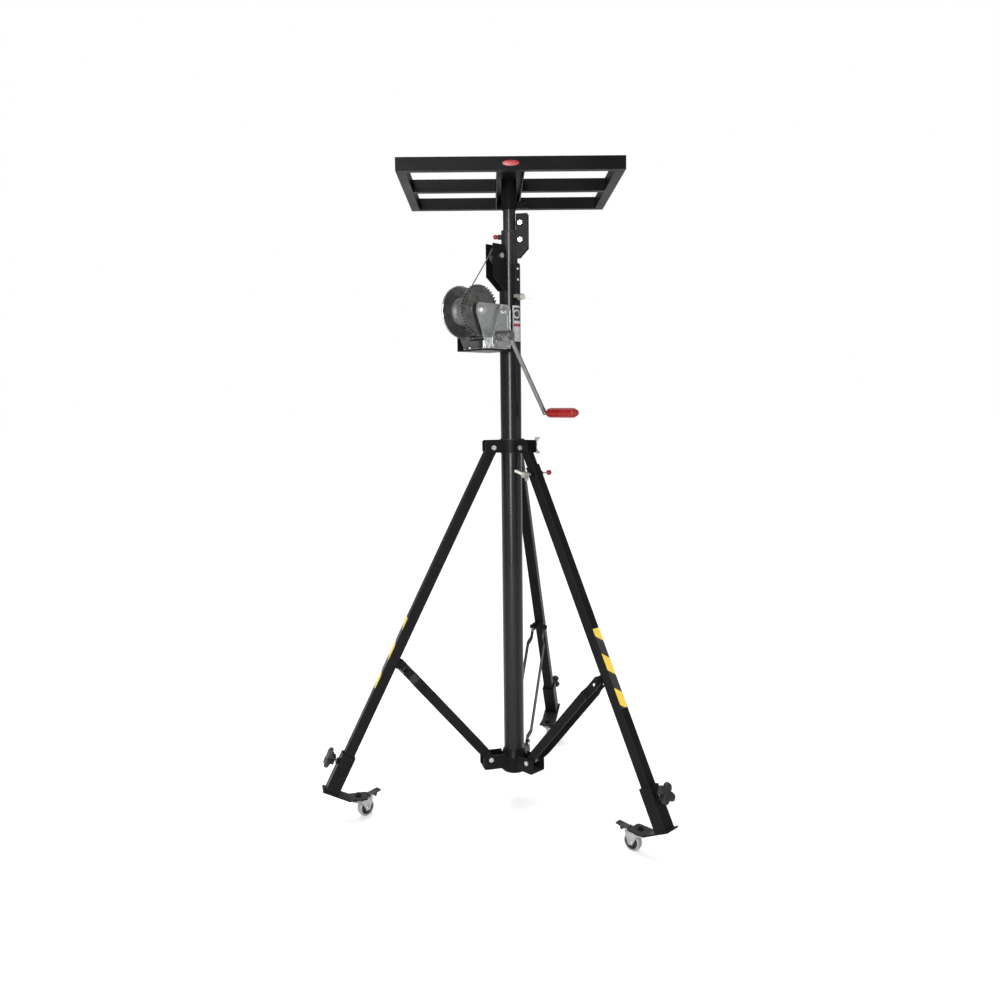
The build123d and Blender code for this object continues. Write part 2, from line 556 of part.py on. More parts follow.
def lower_pulley_bracket():
    """Two black plates on top of the outer tube, either side of the lower pulley."""
    outline = [(18, 1503), (34, 1503), (80, 1538), (80, 1628), (33, 1628), (33, 1580), (18, 1576)]
    solid = side_plate(outline, -15, -12) + side_plate(outline, 12, 15)
    solid += block(20, 40, -12, 12, 1510, 1514)
    solid -= Pos(0, 0, 1400) * Cylinder(OUTER_R, 400, align=BASE)
    x = LOWER_CABLE_X + LOWER_GROOVE
    return in_winch_frame(solid - cross_rod(PIN + FIT, x, -20, 20, LOWER_PULLEY_Z))


def lower_pulley_bolt():
    x = LOWER_CABLE_X + LOWER_GROOVE
    bolt = cross_rod(PIN, x, -20, 20, LOWER_PULLEY_Z)
    bolt += hexagon(7.5, x, 15, 20, LOWER_PULLEY_Z) + hexagon(7.5, x, -21, -15, LOWER_PULLEY_Z)
    bolt += cross_rod(6.5, x, 8.5, 12, LOWER_PULLEY_Z) + cross_rod(6.5, x, -12, -8.5, LOWER_PULLEY_Z)
    return in_winch_frame(bolt)


def upper_pulley_bracket():
    """Two black plates on the head of the middle tube, either side of the upper pulley."""
    outline = [(17, 1596), (30, 1596), (54, 1622), (54, 1716), (20, 1716), (20, 1672), (17, 1664)]
    solid = side_plate(outline, -12, -9.5) + side_plate(outline, 9.5, 12)
    solid += block(52, 54, -9.5, 9.5, 1626, 1668)
    solid -= Pos(0, 0, 1500) * Cylinder(MIDDLE_R, 400, align=BASE)
    for z in (UPPER_PULLEY_Z, 1644):
        solid -= cross_rod(PIN + FIT, UPPER_CABLE_X + UPPER_GROOVE, -20, 20, z)
    return Rot(0, 0, UPPER_PULLEY_AZ) * solid


def upper_pulley_bolts():
    bolts = []
    x = UPPER_CABLE_X + UPPER_GROOVE
    for z, spacer in ((UPPER_PULLEY_Z, 6.5), (1644, 0)):
        bolt = cross_rod(PIN, x, -17, 17, z) + hexagon(7, x, 12, 17, z) + hexagon(7, x, -18, -12, z)
        for side in (1, -1):
            bolt += cross_rod(6.3, x, *sorted((side * spacer, side * 9.5)), z)
        bolts.append(Rot(0, 0, UPPER_PULLEY_AZ) * bolt)
    return bolts


def cable_over(points_before, centre_x, centre_z, groove, a0, a1, points_after):
    """Cable in the XZ plane: straight runs either side of an arc over a pulley."""
    arc_points = []
    for k in (0, 0.5, 1):
        angle = radians(a0 + (a1 - a0) * k)
        arc_points.append((centre_x + groove * cos(angle), 0, centre_z + groove * sin(angle)))
    path = Line(points_before, arc_points[0]) + ThreePointArc(*arc_points)
    path += Line(arc_points[2], points_after)
    start = Vector(*arc_points[0]) - Vector(*points_before)
    return sweep(Plane(origin=points_before, z_dir=start) * Circle(CABLE_R), path=path)


def tangent_to_drum():
    """Angles of the straight run that touches pulley and drum on their outer sides."""
    px = LOWER_CABLE_X + LOWER_GROOVE
    dx, dz = DRUM_X - px, DRUM_Z - LOWER_PULLEY_Z
    distance = hypot(dx, dz)
    wound = WRAP_R + CABLE_R + 0.3
    return degrees(atan2(dz, dx)) + degrees(acos((LOWER_GROOVE - wound) / distance)), wound


def lifting_cable():
    """From the drum over the lower pulley and down between the outer and middle tubes."""
    angle, wound = tangent_to_drum()
    x = LOWER_CABLE_X + LOWER_GROOVE
    drum_end = (DRUM_X + wound * cos(radians(angle)), 0, DRUM_Z + wound * sin(radians(angle)))
    cable = cable_over(drum_end, x, LOWER_PULLEY_Z, LOWER_GROOVE, angle, 180,
                       (LOWER_CABLE_X, 0, MIDDLE_Z0 + 10))
    return in_winch_frame(cable)


def upper_cable():
    """Over the upper pulley and down inside the middle tube, with a ferrule on its tail."""
    x = UPPER_CABLE_X + UPPER_GROOVE
    cable = cable_over((x + UPPER_GROOVE, 0, 1640), x, UPPER_PULLEY_Z, UPPER_GROOVE, 0, 180,
                       (UPPER_CABLE_X, 0, INNER_Z0 + 10))
    cable += rod(3, (x + UPPER_GROOVE, 0, 1628), (x + UPPER_GROOVE, 0, 1642))
    return Rot(0, 0, UPPER_PULLEY_AZ) * cable


# moving mast sections

def middle_mast_tube():
    tube = ring(MIDDLE_R, MIDDLE_R - MIDDLE_WALL, MIDDLE_Z0, MIDDLE_Z1)
    return tube - Rot(0, 0, PLUNGER_AZ) * rod(PIN + FIT, (15, 0, PLUNGER_Z), (30, 0, PLUNGER_Z))


def middle_mast_bush():
    solid = ring(OUTER_R - OUTER_WALL - SLIDE_GAP, MIDDLE_R, MIDDLE_Z0, MIDDLE_Z0 + 30)
    return solid - cable_notch(LOWER_CABLE_X, WINCH_AZ, MIDDLE_Z0, MIDDLE_Z0 + 30)


def middle_mast_head():
    """Cap with a guide inside the middle tube and the plunger's housing outside it."""
    inner = INNER_R + SLIDE_GAP
    solid = ring(MIDDLE_R - MIDDLE_WALL, inner, MIDDLE_Z1 - 30, MIDDLE_Z1)
    solid += ring(MIDDLE_R, inner, MIDDLE_Z1, MIDDLE_Z1 + 6)
    solid -= cable_notch(UPPER_CABLE_X, UPPER_PULLEY_AZ, MIDDLE_Z1 - 30, MIDDLE_Z1 + 7)
    bore = Rot(0, 0, PLUNGER_AZ) * rod(PIN + FIT, (15, 0, PLUNGER_Z), (40, 0, PLUNGER_Z))
    housing = rod(7, (MIDDLE_R - 2, 0, PLUNGER_Z), (33, 0, PLUNGER_Z))
    housing -= Pos(0, 0, 1600) * Cylinder(MIDDLE_R, 100, align=BASE)
    return [solid - bore, Rot(0, 0, PLUNGER_AZ) * housing - bore]


def head_plunger():
    """Index pin with a red ball, in the housing on the middle tube's head."""
    solid = rod(PIN, (INNER_R + 0.7, 0, 0), (36, 0, 0)) + Pos(40, 0, 0) * Sphere(6.5)
    return Rot(0, 0, PLUNGER_AZ) * Pos(0, 0, PLUNGER_Z) * solid


def inner_mast_tube():
    return ring(INNER_R, INNER_R - INNER_WALL, INNER_Z0, INNER_Z1)


def inner_mast_bush():
    solid = ring(MIDDLE_R - MIDDLE_WALL - SLIDE_GAP, INNER_R, INNER_Z0, INNER_Z0 + 30)
    return solid - cable_notch(UPPER_CABLE_X, UPPER_PULLEY_AZ, INNER_Z0, INNER_Z0 + 30)


# tray

def tray_frame():
    """Welded frame: three cross rails, two side rails and an open channel along the middle."""
    x, y, z0, z1 = TRAY_W / 2, TRAY_D / 2, TRAY_Z0, TRAY_Z0 + RAIL_H
    half = SPINE_W / 2

    def hollow(x0, x1, y0, y1):
        return block(x0, x1, y0, y1, z0, z1) - block(x0 + 2, x1 - 2, y0 + 2, y1 - 2, z0 + 2, z1 - 2)

    frame = hollow(-x, x, -y, -y + RAIL_W) + hollow(-x, x, y - RAIL_W, y)
    for side in (1, -1):
        frame += hollow(*sorted((side * (x - SIDE_RAIL_W), side * x)), -y + RAIL_W, y - RAIL_W)
        frame += hollow(*sorted((side * half, side * (x - SIDE_RAIL_W))), -RAIL_W / 2, RAIL_W / 2)
        flange = sorted((side * (half - SPINE_T), side * half))
        frame += block(*flange, -y + RAIL_W, y - RAIL_W, z0, z1)
    return frame + block(-half, half, -y + RAIL_W, y - RAIL_W, z1 - SPINE_T, z1)


def tray_socket():
    """Tube welded under the channel that takes the mast's top, with a small drilled tab."""
    top = TRAY_Z0 + RAIL_H - SPINE_T
    socket = ring(21, INNER_R, 1728, top)
    cap = Pos(0, 0, INNER_Z1) * Cylinder(INNER_R, top - INNER_Z1, align=BASE)
    tab = block(19, 55, -4, -1, 1732, 1750) - cross_rod(4, 45, -8, 4, 1741)
    return socket + cap + (tab - Pos(0, 0, 1700) * Cylinder(19, 90, align=BASE))


def save(name, shape):
    solids = shape if isinstance(shape, list) else [shape]
    export_step(Compound(children=list(solids)), f"parts/{name}.step")


def main():
    os.makedirs("parts", exist_ok=True)
    cables = [(LOWER_CABLE_X, WINCH_AZ)]
    inside = OUTER_R - OUTER_WALL
    bush = mast_guide(inside, MIDDLE_R + SLIDE_GAP, OUTER_Z1 - 30, OUTER_Z1, OUTER_R - 1, cables)
    save("outer_mast_tube", outer_mast_tube())
    save("base_collar", base_collar())
    save("base_pins", base_pins())
    save("mast_mouth_bush", bush)
    save("mast_lock_screw", wing_screw(MAST_LOCK_AZ, MAST_LOCK_Z, MIDDLE_R + 0.6, 44, 30, False))
    save("leg_collar", leg_collar())
    save("collar_liner", collar_liner())
    save("leg_pivot_bolts", leg_pivot_bolts())
    save("collar_wing_screw", wing_screw(COLLAR_LOCK_AZ, 1066, OUTER_R + 0.6, 58, 24, True))
    save("levelling_leg_inner", levelling_leg_inner())
    save("levelling_leg_outer", levelling_leg_outer())
    save("levelling_screw", levelling_screw())
    save("levelling_plunger", levelling_plunger())
    save("rear_leg", leg_tube(REAR))
    save("left_leg", leg_tube(LEFT))
    for name, azimuth in (("rear", REAR), ("left", LEFT), ("levelling", LEVELLING)):
        save(f"{name}_brace", brace_straps(azimuth))
        save(f"{name}_foot_socket", foot_socket(azimuth))
        save(f"{name}_star_knob", star_knob(azimuth))
        save(f"{name}_castor_fork", castor_fork(azimuth))
        save(f"{name}_castor_wheel", castor_wheel(azimuth))
        save(f"{name}_brake_pedal", brake_pedal(azimuth))
    for make in (winch_bracket, winch_frame, winch_cover, winch_bolts, winch_drum, cable_wrap,
                 drum_gear, pinion, crank_arm, crank_grip, lower_pulley, upper_pulley,
                 lower_pulley_bracket, lower_pulley_bolt, upper_pulley_bracket,
                 upper_pulley_bolts, lifting_cable, upper_cable, middle_mast_tube,
                 middle_mast_bush, middle_mast_head, head_plunger, inner_mast_tube,
                 inner_mast_bush, tray_frame, tray_socket):
        save(make.__name__, make())


main()
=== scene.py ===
from math import cos, pi, radians, sin

import bmesh
import bpy
from mathutils import Matrix, Vector


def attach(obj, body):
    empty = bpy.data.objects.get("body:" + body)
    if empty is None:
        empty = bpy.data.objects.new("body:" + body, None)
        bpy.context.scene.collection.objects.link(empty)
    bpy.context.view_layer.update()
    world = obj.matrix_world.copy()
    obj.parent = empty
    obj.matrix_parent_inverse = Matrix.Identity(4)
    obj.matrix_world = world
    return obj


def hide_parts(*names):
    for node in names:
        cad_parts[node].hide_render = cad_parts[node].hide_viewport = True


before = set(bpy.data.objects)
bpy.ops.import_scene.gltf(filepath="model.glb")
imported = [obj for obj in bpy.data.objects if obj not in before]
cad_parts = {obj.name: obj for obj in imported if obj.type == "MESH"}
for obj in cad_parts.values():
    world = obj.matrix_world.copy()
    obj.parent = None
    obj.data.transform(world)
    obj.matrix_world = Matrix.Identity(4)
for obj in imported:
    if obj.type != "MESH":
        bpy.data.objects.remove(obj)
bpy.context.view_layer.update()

# ---------------------------------------------------------------------------------------------
# Outer mast. Drawn steel tube, 60 mm across, blasted and powder coated satin black in one oven
# pass, so the skin has a faint orange peel and gathers a little pale dust where it faces up.
# Two blind rivets near the mouth hold the guide ring; a printed foil label goes on below them.


def add(tree, kind, inputs=None, **settings):
    """One node: inputs given as another node's output are linked, other values are set."""
    made = tree.nodes.new(kind)
    for name, value in settings.items():
        setattr(made, name, value)
    for key, value in (inputs or {}).items():
        if isinstance(value, bpy.types.NodeSocket):
            tree.links.new(value, made.inputs[key])
        else:
            made.inputs[key].default_value = value
    return made


def shared_effect(name, inputs, outputs):
    """An empty shader group with named sockets, and its two end nodes."""
    group = bpy.data.node_groups.new(name, "ShaderNodeTree")
    for label, kind, value in inputs:
        socket = group.interface.new_socket(label, in_out="INPUT", socket_type="NodeSocket" + kind)
        if value is not None:
            socket.default_value = value
    for label, kind in outputs:
        group.interface.new_socket(label, in_out="OUTPUT", socket_type="NodeSocket" + kind)
    return group, group.nodes.new("NodeGroupInput").outputs, group.nodes.new("NodeGroupOutput")


def blended(tree, factor, first, second):
    """Colour mixed from first to second."""
    made = tree.nodes.new("ShaderNodeMix")
    made.data_type = "RGBA"
    for number, value in ((0, factor), (6, first), (7, second)):
        if isinstance(value, bpy.types.NodeSocket):
            tree.links.new(value, made.inputs[number])
        else:
            made.inputs[number].default_value = value
    return made.outputs[2]


def remapped(tree, value, low, high, to_low, to_high):
    """Value stretched from low..high to to_low..to_high, and held there."""
    return add(tree, "ShaderNodeMapRange", {0: value, 1: low, 2: high, 3: to_low, 4: to_high},
               clamp=True).outputs[0]


coat_skin, skin_in, skin_out = shared_effect(
    "powder_coat_skin",
    [("Position", "Vector", None), ("Deep", "Color", (0.01, 0.01, 0.01, 1)),
     ("Raised", "Color", (0.03, 0.03, 0.03, 1)), ("Peel", "Float", 0.3), ("Dust", "Float", 0.2),
     ("Scuffs", "Float", 0.3), ("Smooth", "Float", 0.3), ("Rough", "Float", 0.45)],
    [("Colour", "Color"), ("Roughness", "Float"), ("Normal", "Vector")])
cloud = add(coat_skin, "ShaderNodeTexNoise",
            {"Vector": skin_in["Position"], "Scale": 9.0, "Detail": 5.0}).outputs[0]
peel = add(coat_skin, "ShaderNodeTexNoise",
           {"Vector": skin_in["Position"], "Scale": 650.0, "Detail": 2.0}).outputs[0]
scuff_field = add(coat_skin, "ShaderNodeTexNoise",
                  {"Vector": skin_in["Position"], "Scale": 55.0, "Detail": 8.0,
                   "Roughness": 0.75}).outputs[0]
scuff_mask = add(coat_skin, "ShaderNodeMath",
                 {0: remapped(coat_skin, scuff_field, 0.64, 0.72, 0.0, 1.0),
                  1: skin_in["Scuffs"]}, operation="MULTIPLY").outputs[0]
upward = add(coat_skin, "ShaderNodeSeparateXYZ",
             {0: add(coat_skin, "ShaderNodeNewGeometry").outputs["Normal"]}).outputs[2]
dust_field = add(coat_skin, "ShaderNodeMath",
                 {0: remapped(coat_skin, upward, 0.5, 1.0, 0.0, 1.0),
                  1: remapped(coat_skin, cloud, 0.3, 0.7, 0.3, 1.0)},
                 operation="MULTIPLY").outputs[0]
dust_mask = add(coat_skin, "ShaderNodeMath", {0: dust_field, 1: skin_in["Dust"]},
                operation="MULTIPLY").outputs[0]
coat_tone = blended(coat_skin, remapped(coat_skin, cloud, 0.3, 0.7, 0.0, 1.0),
                    skin_in["Deep"], skin_in["Raised"])
scuffed = blended(coat_skin, scuff_mask, coat_tone, (0.09, 0.09, 0.092, 1))
dusted = blended(coat_skin, dust_mask, scuffed, (0.22, 0.215, 0.205, 1))
spread = add(coat_skin, "ShaderNodeMath", {0: cloud, 1: scuff_mask}, operation="ADD").outputs[0]
coat_rough = add(coat_skin, "ShaderNodeMapRange",
                 {0: spread, 1: 0.3, 2: 0.8, 3: skin_in["Smooth"], 4: skin_in["Rough"]}).outputs[0]
peel_normal = add(coat_skin, "ShaderNodeBump",
                  {"Strength": skin_in["Peel"], "Distance": 0.0004, "Height": peel}).outputs[0]
for label, value in (("Colour", dusted), ("Roughness", coat_rough), ("Normal", peel_normal)):
    coat_skin.links.new(value, skin_out.inputs[label])


def finish_of(name, effect, values, **shader):
    """A material: the effect on object coordinates, feeding one Principled shader."""
    material = bpy.data.materials.new(name)
    material.use_nodes = True
    tree = material.node_tree
    principled = tree.nodes["Principled BSDF"]
    place = add(tree, "ShaderNodeTexCoord").outputs["Object"]
    skin = add(tree, "ShaderNodeGroup", node_tree=effect)
    tree.links.new(place, skin.inputs["Position"])
    for key, value in values.items():
        skin.inputs[key].default_value = value
    tree.links.new(skin.outputs["Colour"], principled.inputs["Base Color"])
    tree.links.new(skin.outputs["Roughness"], principled.inputs["Roughness"])
    tree.links.new(skin.outputs["Normal"], principled.inputs["Normal"])
    for key, value in shader.items():
        principled.inputs[key.replace("_", " ")].default_value = value
    return material


def painted(material, *nodes):
    """Gives CAD nodes their finish."""
    for name in nodes:
        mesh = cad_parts[name].data
        mesh.materials.clear()
        mesh.materials.append(material)


mast_coat = finish_of("mast_powder_coat", coat_skin,
                      {"Deep": (0.003, 0.0034, 0.0043, 1), "Raised": (0.0052, 0.0058, 0.007, 1),
                       "Peel": 0.1, "Dust": 0.1, "Scuffs": 0.1, "Smooth": 0.21,
                       "Rough": 0.29}, Specular_IOR_Level=0.21)
painted(mast_coat, "outer_mast_tube")

# ---------------------------------------------------------------------------------------------
# Bright zinc hardware. Bolts, nuts, rivets and pins are cold-headed steel with a clear zinc
# plate; the plate shows faint bloom and fine lines from barrel plating.

zinc_plate, plate_in, plate_out = shared_effect(
    "zinc_plate",
    [("Position", "Vector", None), ("Bright", "Color", (0.7, 0.7, 0.7, 1)),
     ("Dull", "Color", (0.5, 0.5, 0.5, 1)), ("Bloom", "Float", 45.0), ("Lines", "Float", 0.15),
     ("Smooth", "Float", 0.22), ("Rough", "Float", 0.42)],
    [("Colour", "Color"), ("Roughness", "Float"), ("Normal", "Vector")])
bloom = add(zinc_plate, "ShaderNodeTexNoise",
            {"Vector": plate_in["Position"], "Scale": plate_in["Bloom"], "Detail": 6.0,
             "Roughness": 0.6}).outputs[0]
drawn = add(zinc_plate, "ShaderNodeMapping",
            {"Vector": plate_in["Position"], "Scale": (900.0, 900.0, 60.0)}).outputs[0]
drawn_lines = add(zinc_plate, "ShaderNodeTexNoise", {"Vector": drawn, "Scale": 1.0,
                                                    "Detail": 3.0}).outputs[0]
bloom_mask = remapped(zinc_plate, bloom, 0.35, 0.65, 0.0, 1.0)
zinc_plate.links.new(blended(zinc_plate, bloom_mask, plate_in["Dull"], plate_in["Bright"]),
                     plate_out.inputs["Colour"])
plate_rough = add(zinc_plate, "ShaderNodeMapRange",
                  {0: bloom, 1: 0.3, 2: 0.7, 3: plate_in["Rough"], 4: plate_in["Smooth"]})
zinc_plate.links.new(plate_rough.outputs[0], plate_out.inputs["Roughness"])
plate_normal = add(zinc_plate, "ShaderNodeBump",
                   {"Strength": plate_in["Lines"], "Distance": 0.0003, "Height": drawn_lines})
zinc_plate.links.new(plate_normal.outputs[0], plate_out.inputs["Normal"])

bolt_zinc = finish_of("bolt_zinc", zinc_plate,
                      {"Bright": (0.52, 0.52, 0.51, 1), "Dull": (0.32, 0.32, 0.315, 1),
                       "Bloom": 160.0}, Metallic=0.9)
painted(bolt_zinc, "base_pins", "leg_pivot_bolts", "lower_pulley_bolt", "upper_pulley_bolts",
        "winch_bolts")


def kept(name, mesh, material, body, replaced=(), crease=35):
    """A finished piece: smooth between creases, with its finish, riding on its body."""
    piece = bpy.data.objects.new(name, mesh)
    bpy.context.scene.collection.objects.link(piece)
    mesh.shade_smooth()
    mesh.set_sharp_from_angle(angle=radians(crease))
    if material:
        mesh.materials.clear()
        mesh.materials.append(material)
    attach(piece, body)
    if replaced:
        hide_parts(*replaced)
    return piece


def placed_points(points):
    """Seed mesh of points that each carry the way they face."""
    mesh = bpy.data.meshes.new("points")
    mesh.from_pydata([point for point, facing in points], [], [])
    facing_layer = mesh.attributes.new("facing", "FLOAT_VECTOR", "POINT")
    for k, (point, facing) in enumerate(points):
        facing_layer.data[k].vector = facing
    return mesh


def growing_tree(name, sizes):
    """A geometry tree with named sizes and a finish, and its two end nodes."""
    tree = bpy.data.node_groups.new(name, "GeometryNodeTree")
    tree.interface.new_socket("Seed", in_out="INPUT", socket_type="NodeSocketGeometry")
    for label, kind, value in sizes:
        socket = tree.interface.new_socket(label, in_out="INPUT", socket_type="NodeSocket" + kind)
        socket.default_value = value
    tree.interface.new_socket("Finish", in_out="INPUT", socket_type="NodeSocketMaterial")
    tree.interface.new_socket("Grown", in_out="OUTPUT", socket_type="NodeSocketGeometry")
    return tree, tree.nodes.new("NodeGroupInput").outputs, tree.nodes.new("NodeGroupOutput")


def end_tree(tree, shape, entry, end):
    """Realizes what the tree made and gives it its finish."""
    real = add(tree, "GeometryNodeRealizeInstances", {0: shape}).outputs[0]
    coated = add(tree, "GeometryNodeSetMaterial", {0: real, "Material": entry["Finish"]}).outputs[0]
    tree.links.new(coated, end.inputs[0])


def grown(name, seed_mesh, tree, sizes, material, body, replaced=(), place=None, crease=35):
    """Runs a tree on a seed mesh and keeps what it makes as a plain mesh on a body."""
    seed = bpy.data.objects.new(name + ".seed", seed_mesh)
    bpy.context.scene.collection.objects.link(seed)
    modifier = seed.modifiers.new("grow", "NODES")
    modifier.node_group = tree
    sockets = {item.name: item.identifier for item in tree.interface.items_tree
               if item.in_out == "INPUT"}
    for label, value in dict(sizes, Finish=material).items():
        modifier[sockets[label]] = value
    ready = seed.evaluated_get(bpy.context.evaluated_depsgraph_get())
    mesh = bpy.data.meshes.new_from_object(ready)
    bpy.data.objects.remove(seed)
    if place:
        mesh.transform(place)
    return kept(name, mesh, None, body, replaced, crease)


rivet_tree, rivet_in, rivet_end = growing_tree(
    "domed_heads", [("Radius", "Float", 0.003), ("Height", "Float", 0.0012)])
dome = add(rivet_tree, "GeometryNodeMeshUVSphere", {"Segments": 20, "Rings": 10, "Radius": 1.0})
dome_size = add(rivet_tree, "ShaderNodeCombineXYZ",
                {0: rivet_in["Radius"], 1: rivet_in["Radius"], 2: rivet_in["Height"]})
facing = add(rivet_tree, "GeometryNodeInputNamedAttribute", {"Name": "facing"},
             data_type="FLOAT_VECTOR")
turned = add(rivet_tree, "FunctionNodeAlignRotationToVector", {"Vector": facing.outputs[0]},
             axis="Z")
heads = add(rivet_tree, "GeometryNodeInstanceOnPoints",
            {"Points": rivet_in["Seed"], "Instance": dome.outputs[0],
             "Rotation": turned.outputs[0], "Scale": dome_size.outputs[0]})
end_tree(rivet_tree, heads.outputs[0], rivet_in, rivet_end)

MAST_R = 0.030


def around_mast(azimuth, height):
    """A point on the mast's skin and the way it faces."""
    angle = radians(azimuth)
    return ((MAST_R * cos(angle), MAST_R * sin(angle), height), (cos(angle), sin(angle), 0))


RIVET_AZIMUTHS, RIVET_HEIGHTS = (-40, 150), (1.565, 1.535)
rivet_points = [around_mast(azimuth, height) for azimuth in RIVET_AZIMUTHS
                for height in RIVET_HEIGHTS]
grown("mast_rivets", placed_points(rivet_points), rivet_tree, {"Radius": 0.0042, "Height": 0.0018},
      bolt_zinc, "mast")

# ---------------------------------------------------------------------------------------------
# Label on the outer mast. Pale self-adhesive foil, printed with a black panel, a plain ring and
# a red strip and with no lettering, wrapped round the tube's side under the clamping screw.

print_grain, print_in, print_out = shared_effect(
    "printed_foil",
    [("Position", "Vector", None), ("Ink", "Color", (0.6, 0.6, 0.6, 1)),
     ("Worn", "Color", (0.4, 0.4, 0.4, 1)), ("Smooth", "Float", 0.3), ("Rough", "Float", 0.5)],
    [("Colour", "Color"), ("Roughness", "Float"), ("Normal", "Vector")])
wear = add(print_grain, "ShaderNodeTexNoise", {"Vector": print_in["Position"], "Scale": 120.0,
                                              "Detail": 6.0}).outputs[0]
print_grain.links.new(blended(print_grain, remapped(print_grain, wear, 0.45, 0.75, 0.0, 1.0),
                              print_in["Ink"], print_in["Worn"]), print_out.inputs["Colour"])
print_rough = add(print_grain, "ShaderNodeMapRange",
                  {0: wear, 1: 0.3, 2: 0.7, 3: print_in["Smooth"], 4: print_in["Rough"]})
print_grain.links.new(print_rough.outputs[0], print_out.inputs["Roughness"])
print_normal = add(print_grain, "ShaderNodeBump", {"Strength": 0.05, "Distance": 0.0002,
                                                  "Height": wear})
print_grain.links.new(print_normal.outputs[0], print_out.inputs["Normal"])

foil_grey = finish_of("foil_grey", print_grain, {"Ink": (0.32, 0.32, 0.33, 1),
                                                 "Worn": (0.22, 0.22, 0.23, 1)})
foil_black = finish_of("foil_black", print_grain, {"Ink": (0.015, 0.015, 0.016, 1),
                                                   "Worn": (0.03, 0.03, 0.03, 1)})
foil_red = finish_of("foil_red", print_grain, {"Ink": (0.22, 0.008, 0.011, 1),
                                               "Worn": (0.16, 0.012, 0.012, 1)})


def lofted(rings, place=Matrix(), looped=False):
    """Mesh through rings of points, with the last joined to the first or both ends capped."""
    made = bmesh.new()
    loops = [[made.verts.new(place @ Vector(point)) for point in ring] for ring in rings]
    around = len(rings[0])
    pairs = list(zip(loops, loops[1:])) + ([(loops[-1], loops[0])] if looped else [])
    for low, high in pairs:
        for k in range(around):
            after = (k + 1) % around
            made.faces.new((low[k], low[after], high[after], high[k]))
    if not looped:
        made.faces.new(loops[0][::-1])
        made.faces.new(loops[-1])
    bmesh.ops.recalc_face_normals(made, faces=made.faces)
    mesh = bpy.data.meshes.new("lofted")
    made.to_mesh(mesh)
    made.free()
    return mesh


def mast_patch(azimuth_from, azimuth_to, low, high, radius, thickness=0.00025):
    """A thin foil wrapped round the mast, between two azimuths and two heights."""
    steps = 16
    rings = []
    for k in range(steps + 1):
        angle = radians(azimuth_from + (azimuth_to - azimuth_from) * k / steps)
        out, near = radius + thickness, radius - 0.0002
        rings.append([(r * cos(angle), r * sin(angle), z)
                      for r, z in ((near, low), (out, low), (out, high), (near, high))])
    return lofted(rings)


# azimuths from and to, and heights from and to
LABEL, PANEL, STRIP = (-78, -14, 1.362, 1.462), (-70, -22, 1.420, 1.457), (-72, -20, 1.404, 1.412)
INK_LIFT = 0.0002
kept("mast_label", mast_patch(*LABEL, MAST_R), foil_grey, "mast")
kept("mast_label_panel", mast_patch(*PANEL, MAST_R + INK_LIFT), foil_black, "mast")
kept("mast_label_strip", mast_patch(*STRIP, MAST_R + INK_LIFT), foil_red, "mast")


def ring_on_mast(azimuth, height, outer, inner, radius):
    """A flat printed ring wrapped on the mast."""
    rings = []
    for k in range(32):
        angle = 2 * pi * k / 32
        ring = []
        for size, out in ((inner, 0), (outer, 0), (outer, INK_LIFT), (inner, INK_LIFT)):
            turn = radians(azimuth) + size * cos(angle) / radius
            reach = radius + out
            ring.append((reach * cos(turn), reach * sin(turn), height + size * sin(angle)))
        rings.append(ring)
    return lofted(rings, looped=True)


RING_AZIMUTH, RING_HEIGHT, RING_OUTER, RING_INNER = -52, 1.4385, 0.0125, 0.0085
kept("mast_label_ring",
     ring_on_mast(RING_AZIMUTH, RING_HEIGHT, RING_OUTER, RING_INNER, MAST_R + 2 * INK_LIFT),
     foil_grey, "mast")

# ---------------------------------------------------------------------------------------------
# Base collar and leg collar. Pressed and welded steel, powder coated with the legs. The collar's
# liner, the guide rings and the mast heads are moulded black nylon, a little greyer and duller.

leg_coat = finish_of("leg_powder_coat", coat_skin,
                     {"Deep": (0.0035, 0.0035, 0.004, 1), "Raised": (0.006, 0.006, 0.0066, 1),
                      "Peel": 0.25, "Dust": 0.15, "Scuffs": 0.3, "Smooth": 0.34,
                      "Rough": 0.5}, Specular_IOR_Level=0.06)
painted(leg_coat, "base_collar", "leg_collar", "rear_leg", "left_leg", "levelling_leg_outer")
black_nylon = finish_of("black_nylon", coat_skin,
                        {"Deep": (0.007, 0.007, 0.0075, 1), "Raised": (0.013, 0.013, 0.0137, 1),
                         "Peel": 0.45, "Dust": 0.2, "Scuffs": 0.15, "Smooth": 0.38,
                         "Rough": 0.55}, Specular_IOR_Level=0.25)
painted(black_nylon, "collar_liner", "mast_mouth_bush", "middle_mast_bush", "inner_mast_bush",
        "middle_mast_head", "lower_pulley", "upper_pulley")

bead_tree, bead_in, bead_end = growing_tree(
    "weld_bead", [("Width", "Float", 0.003), ("Pitch", "Float", 0.0016), ("Chance", "Int", 7)])
bead_line = add(bead_tree, "GeometryNodeMeshToCurve", {0: bead_in["Seed"]}).outputs[0]
bead_steps = add(bead_tree, "GeometryNodeResampleCurve",
                 {"Curve": bead_line, "Length": bead_in["Pitch"]}, mode="LENGTH").outputs[0]
bead_drop = add(bead_tree, "GeometryNodeMeshIcoSphere", {"Radius": 1.0, "Subdivisions": 2})
bead_vary = add(bead_tree, "FunctionNodeRandomValue",
                {2: 0.42, 3: 0.6, "Seed": bead_in["Chance"]}, data_type="FLOAT").outputs[1]
bead_size = add(bead_tree, "ShaderNodeMath", {0: bead_vary, 1: bead_in["Width"]},
                operation="MULTIPLY").outputs[0]
bead_drops = add(bead_tree, "GeometryNodeInstanceOnPoints",
                 {"Points": bead_steps, "Instance": bead_drop.outputs[0], "Scale": bead_size})
end_tree(bead_tree, bead_drops.outputs[0], bead_in, bead_end)


